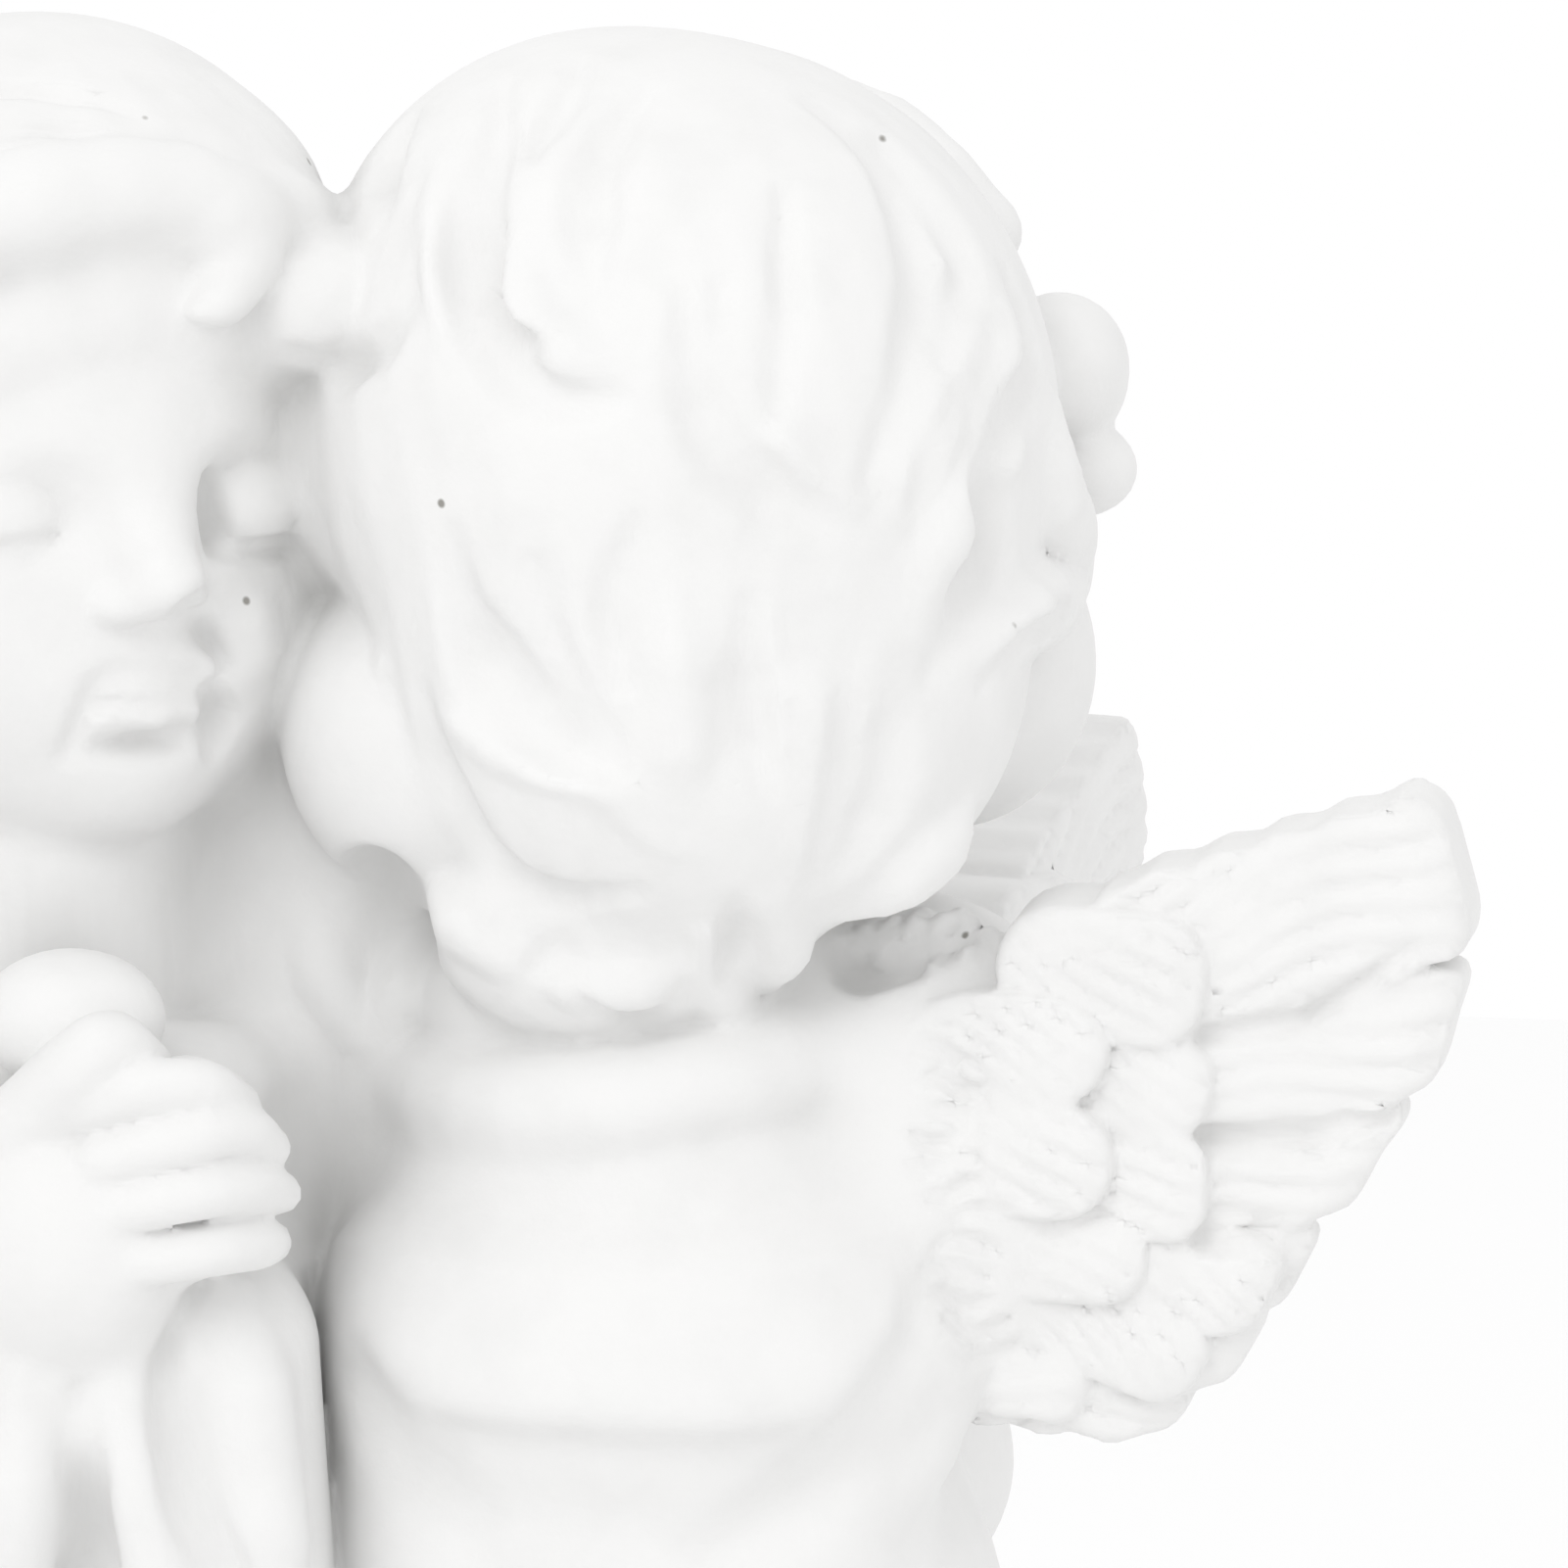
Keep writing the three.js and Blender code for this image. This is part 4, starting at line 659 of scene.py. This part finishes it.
def add_eye(clay, head, hand):
    """A closed eye: an upper lid that ends at the lash line, over a flatter lower lid."""
    forward = INNER_EYE_FORWARD if hand < 0 else OUTER_EYE_FORWARD
    lid = ellipsoid(head.at(EYE["apart"] * hand, forward, EYE["up"]), EYE["size"], head.axes)

    def distance(x, y, z):
        _, _, up = head.local(x, y, z)
        return soft_max(lid.distance(x, y, z), EYE["lash"] - up, 0.1)

    clay.add(Shape(lid.low, lid.high, distance), 0.15)
    clay.add(ellipsoid(head.at(5.3 * hand, 10.3, -1.6), (3, 2.1, 1.4), head.axes), 0.5)


REAR_HEAD = Frame(HEAD_AT, REAR_HEAD_TURN, HEAD_BOW, REAR_HEAD_LEAN)
FRONT_HEAD = Frame(HEAD_AT, FRONT_HEAD_TURN, HEAD_BOW, FRONT_HEAD_LEAN)

# Runs of plaster in the hollow between the children: across, up and out in the view, and thickness
DRIPS = [
    ([(-0.9, 79, 0.6), (-0.4, 76.6, 1.4), (0.8, 74.2, 1.6)], (1.5, 1.6, 1)),
    ([(3.2, 78, 1), (2.8, 75.8, 1.8), (1.8, 74, 1.8)], (1.1, 1.5, 1)),
]


def add_between(clay):
    """The filled hollow between the two children, with its lumps, the same from both sides."""
    clay.add(ellipsoid((0, 0, 79), (7.4, 2, 14)), 2.5)
    clay.add(ellipsoid((0, 0, 38), (4, 7, 26)), 2)
    for view in (BEHIND, FACING):
        clay.carve(ellipsoid(view.at(1.6, 77.4, 8.4), (2.6, 6.6, 4.6)), 0.5)
        for points, radii in DRIPS:
            clay.add(strand([view.at(*p) for p in points], radii), 0.5)


def shape_pair():
    """The rear-facing child, the other turned half round, the plaster left between them and the base."""
    body = Clay(CHILD_BLOCK)
    add_gown(body)
    add_feet(body)
    add_body(body)
    add_collar(body)
    add_wing(body, WING_ROOT, WING_TURN)
    add_wing(body, FAR_WING_ROOT, FAR_WING_TURN, FAR_WING_DROP)
    add_down(body)
    add_hands(body)
    pair = Clay(PAIR_BLOCK)
    for head, turned in ((REAR_HEAD, False), (FRONT_HEAD, True)):
        hair, face = Clay(HEAD_BLOCK), Clay(HEAD_BLOCK)
        add_hair(hair, head)
        add_face(face, head)
        face.join(hair, 0.4)
        pair.join(body, 0.5, turned)
        pair.join(face, 0.8, turned)
    add_between(pair)
    add_base(pair)
    return pair


def skin(clay):
    """Points and four-cornered faces where the distance is zero, one point in each cell that it crosses."""
    values = clay.values
    inside = values < 0
    shape = np.array(values.shape) - 1
    corner = [(i, j, k) for i in (0, 1) for j in (0, 1) for k in (0, 1)]

    def shifted(array, offset):
        i, j, k = offset
        return array[i:i + shape[0], j:j + shape[1], k:k + shape[2]]

    count = sum(shifted(inside, c).astype(np.int8) for c in corner)
    cells = np.argwhere((count > 0) & (count < 8))
    number = np.full(shape, -1, np.int64)
    number[tuple(cells.T)] = np.arange(len(cells))
    total, hits = np.zeros((len(cells), 3)), np.zeros(len(cells))
    for a in corner:
        for axis in range(3):
            if a[axis]:
                continue
            b = tuple(v + (n == axis) for n, v in enumerate(a))
            va, vb = values[tuple((cells + a).T)], values[tuple((cells + b).T)]
            cross = (va < 0) != (vb < 0)
            t = np.where(cross, va / np.where(cross, va - vb, 1), 0)
            point = np.array(a, float) + np.eye(3)[axis] * t[:, None]
            total[cross] += point[cross]
            hits += cross
    start = np.array([ticks[0] for ticks in clay.ticks])
    points = (cells + total / hits[:, None]) * STEP + start
    faces = []
    for axis in range(3):
        step = np.eye(3, dtype=int)[axis]
        low = inside[tuple(slice(0, n - s) for n, s in zip(inside.shape, step))]
        high = inside[tuple(slice(s, n) for n, s in zip(inside.shape, step))]
        for edges, turned in ((np.argwhere(low & ~high), False), (np.argwhere(~low & high), True)):
            one, two = [np.eye(3, dtype=int)[(axis + n) % 3] for n in (1, 2)]
            ring = [number[tuple((edges - offset).T)] for offset in (0 * one, one, one + two, two)]
            faces.append(np.stack(ring[::-1] if turned else ring, 1))
    return points, np.concatenate(faces)


def mesh_object(name, points, faces):
    """A smooth object from points in millimetres and their faces."""
    mesh = bpy.data.meshes.new(name)
    mesh.vertices.add(len(points))
    mesh.vertices.foreach_set("co", (points * MM).astype(np.float32).ravel())
    mesh.loops.add(faces.size)
    mesh.loops.foreach_set("vertex_index", faces.astype(np.int32).ravel())
    mesh.polygons.add(len(faces))
    mesh.polygons.foreach_set("loop_start", np.arange(0, faces.size, faces.shape[1], dtype=np.int32))
    mesh.update(calc_edges=True)
    mesh.validate()
    mesh.shade_smooth()
    thing = bpy.data.objects.new(name, mesh)
    bpy.context.scene.collection.objects.link(thing)
    return thing


def thin_out(thing, triangles):
    """Brings a mesh down to this many triangles."""
    count = sum(len(p.vertices) - 2 for p in thing.data.polygons)
    if count <= triangles:
        return
    modifier = thing.modifiers.new("thin", "DECIMATE")
    modifier.ratio = triangles / count
    graph = bpy.context.evaluated_depsgraph_get()
    mesh = bpy.data.meshes.new_from_object(thing.evaluated_get(graph))
    thing.modifiers.clear()
    thing.data = mesh
    mesh.shade_smooth()


def filled_share(clay, points, radius):
    """How much of the space round each point is filled: half on a flat face, and more in a hollow."""
    share = (clay.values < 0)[::2, ::2, ::2].astype(np.float32)
    width = max(1, round(radius / (2 * STEP)))
    for axis in (0, 1, 2, 0, 1, 2):
        pads = [(width + 1, width) if n == axis else (0, 0) for n in range(3)]
        total = np.cumsum(np.pad(share, pads), axis)
        count = total.shape[axis]
        high = np.take(total, range(2 * width + 1, count), axis)
        low = np.take(total, range(0, count - 2 * width - 1), axis)
        share = (high - low) / (2 * width + 1)
    start = np.array([ticks[0] for ticks in clay.ticks])
    spots = np.clip((points - start) / (2 * STEP), 0, np.array(share.shape) - 1.001)
    cells = spots.astype(int)
    part = spots - cells
    result = 0.0
    for corner in np.ndindex(2, 2, 2):
        weight = np.where(corner, part, 1 - part).prod(1)
        result = result + weight * share[tuple((cells + corner).T)]
    return result


# Painted shade in the hollows: a point is painted darker the more of the space round it is filled, where shade
# falls. The reach, the share where it starts, and its strength
HOLLOW_PAINTED_SHADE = [(4.2, 0.55, 1.9), (1.2, 0.6, 1.7)]


def paint_shade_in_hollows(thing, clay):
    """Stores at each point how much painted shade its hollow lays on the plaster, from 0 to 1."""
    mesh = thing.data
    points = np.empty(len(mesh.vertices) * 3, np.float32)
    mesh.vertices.foreach_get("co", points)
    points = points.reshape(-1, 3) / MM
    hollow = sum(strength * np.clip(filled_share(clay, points, reach) - first, 0, 0.5)
                 for reach, first, strength in HOLLOW_PAINTED_SHADE)
    # The painted shade of the hollows is kept in the point attribute named hollow
    attribute = mesh.attributes.new("hollow", "FLOAT", "POINT")
    attribute.data.foreach_set("value", np.clip(hollow, 0, 1).astype(np.float32))


# The plaster's own colour, and the darker colour that the painted shade of the hollows and the faint random
# mottle mix it towards
PLASTER_LIGHT, PLASTER_SHADE_AND_MOTTLE = (0.825, 0.823, 0.818, 1), (0.50, 0.498, 0.49, 1)
PIT_COLOR = (0.30, 0.29, 0.27, 1)
PLASTER_ROUGHNESS = 0.75
MOTTLE_SCALE, MOTTLE_STRENGTH = 260, 0.09
PIT_SCALE, PIT_CORE, PIT_RIM = 150, 0.02, 0.035
GRAIN_SCALE, GRAIN_STRENGTH, GRAIN_HEIGHT = 1600, 0.25, 0.00012


def plaster():
    """Matt white plaster with a fine grain, a faint mottle, painted shade in the hollows and sparse dark
    casting pits.
    """
    material = bpy.data.materials.new("plaster")
    material.use_nodes = True
    nodes, links = material.node_tree.nodes, material.node_tree.links
    shader = nodes["Principled BSDF"]
    shader.inputs["Roughness"].default_value = PLASTER_ROUGHNESS
    place = nodes.new("ShaderNodeTexCoord").outputs["Object"]

    def noise(scale, detail):
        node = nodes.new("ShaderNodeTexNoise")
        node.inputs["Scale"].default_value = scale
        node.inputs["Detail"].default_value = detail
        links.new(place, node.inputs["Vector"])
        return node.outputs["Fac"]

    def ranged(value, low, high, first, last):
        node = nodes.new("ShaderNodeMapRange")
        for name, number in (("From Min", low), ("From Max", high), ("To Min", first), ("To Max", last)):
            node.inputs[name].default_value = number
        links.new(value, node.inputs["Value"])
        return node.outputs["Result"]

    def summed(one, other):
        node = nodes.new("ShaderNodeMath")
        node.use_clamp = True
        links.new(one, node.inputs[0])
        links.new(other, node.inputs[1])
        return node.outputs["Value"]

    def mixed(amount, one, other):
        node = nodes.new("ShaderNodeMix")
        node.data_type = "RGBA"
        links.new(amount, node.inputs["Factor"])
        for value, name in ((one, "A"), (other, "B")):
            socket = next(s for s in node.inputs if s.name == name and s.type == "RGBA")
            if isinstance(value, tuple):
                socket.default_value = value
            else:
                links.new(value, socket)
        return next(s for s in node.outputs if s.type == "RGBA")

    # Painted shade: the hollow attribute darkens the plaster in recesses, where shade falls, and the random
    # mottle adds to it
    hollow = nodes.new("ShaderNodeAttribute")
    hollow.attribute_name = "hollow"
    mottle = ranged(noise(MOTTLE_SCALE, 4), 0.45, 0.75, 0, MOTTLE_STRENGTH)
    color = mixed(summed(hollow.outputs["Fac"], mottle), PLASTER_LIGHT, PLASTER_SHADE_AND_MOTTLE)
    pits = nodes.new("ShaderNodeTexVoronoi")
    pits.inputs["Scale"].default_value = PIT_SCALE
    links.new(place, pits.inputs["Vector"])
    pit = ranged(pits.outputs["Distance"], PIT_CORE, PIT_RIM, 1, 0)
    color = mixed(pit, color, PIT_COLOR)
    links.new(color, shader.inputs["Base Color"])
    bump = nodes.new("ShaderNodeBump")
    bump.inputs["Strength"].default_value = GRAIN_STRENGTH
    bump.inputs["Distance"].default_value = GRAIN_HEIGHT
    links.new(noise(GRAIN_SCALE, 3), bump.inputs["Height"])
    links.new(bump.outputs["Normal"], shader.inputs["Normal"])
    return material


pair_clay = shape_pair()
pair = mesh_object("cherub_pair_plaster", *skin(pair_clay))
thin_out(pair, SKIN_TRIANGLES)
# Paints shade into the hollows of the plaster
paint_shade_in_hollows(pair, pair_clay)
pair.data.materials.append(plaster())
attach(pair, "root")
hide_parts("cherub_pair")


FLOOR_RADIUS, FLOOR_SIDES = 0.4, 96
FLOOR_COLOR, FLOOR_ROUGHNESS = (0.93, 0.93, 0.93, 1), 0.9


def floor_material():
    material = bpy.data.materials.new("floor")
    material.use_nodes = True
    shader = material.node_tree.nodes["Principled BSDF"]
    shader.inputs["Base Color"].default_value = FLOOR_COLOR
    shader.inputs["Roughness"].default_value = FLOOR_ROUGHNESS
    return material


def add_floor():
    turns = [2 * math.pi * n / FLOOR_SIDES for n in range(FLOOR_SIDES)]
    rim = [(FLOOR_RADIUS * math.cos(turn), FLOOR_RADIUS * math.sin(turn), 0) for turn in turns]
    mesh = bpy.data.meshes.new("floor")
    mesh.from_pydata(rim, [], [tuple(range(FLOOR_SIDES))])
    floor = bpy.data.objects.new("floor", mesh)
    mesh.materials.append(floor_material())
    bpy.context.scene.collection.objects.link(floor)


# The soft key light from the upper left, in metres and watts, and the even light all round
KEY_AT, KEY_TARGET, KEY_SIZE, KEY_POWER = (-0.35, -0.8, 0.75), (0, 0, 0.08), 0.5, 2.2
WORLD_STRENGTH = 1.0


def add_key_light():
    data = bpy.data.lights.new("key", "AREA")
    data.size = KEY_SIZE
    data.energy = KEY_POWER
    light = bpy.data.objects.new("key", data)
    light.location = KEY_AT
    light.rotation_euler = (Vector(KEY_TARGET) - Vector(KEY_AT)).to_track_quat("-Z", "Y").to_euler()
    bpy.context.scene.collection.objects.link(light)


# The photo's frame is 1601 pixels wide and shows 0.04 mm a pixel at the figurine's middle plane
PIXELS, PIXEL_MM = 1601, 0.04
CAMERA_RISE, CAMERA_DISTANCE, SENSOR = 10.0, 0.6, 36.0
AIM = (18.2 * MM, 0, 85.7 * MM)


def add_camera():
    data = bpy.data.cameras.new("camera")
    data.sensor_width = SENSOR
    data.lens = SENSOR * CAMERA_DISTANCE / (PIXELS * PIXEL_MM * MM)
    data.clip_start = 0.01
    camera = bpy.data.objects.new("camera", data)
    rise = math.radians(CAMERA_RISE)
    camera.location = Vector(AIM) + CAMERA_DISTANCE * Vector((0, -math.cos(rise), math.sin(rise)))
    camera.rotation_euler = (math.radians(90) - rise, 0, 0)
    bpy.context.scene.collection.objects.link(camera)
    bpy.context.scene.camera = camera


def add_world():
    world = bpy.data.worlds.new("world")
    world.use_nodes = True
    background = world.node_tree.nodes["Background"]
    background.inputs["Color"].default_value = (1, 1, 1, 1)
    background.inputs["Strength"].default_value = WORLD_STRENGTH
    bpy.context.scene.world = world
    bpy.context.scene.view_settings.view_transform = "Standard"


add_floor()
add_key_light()
add_camera()
add_world()
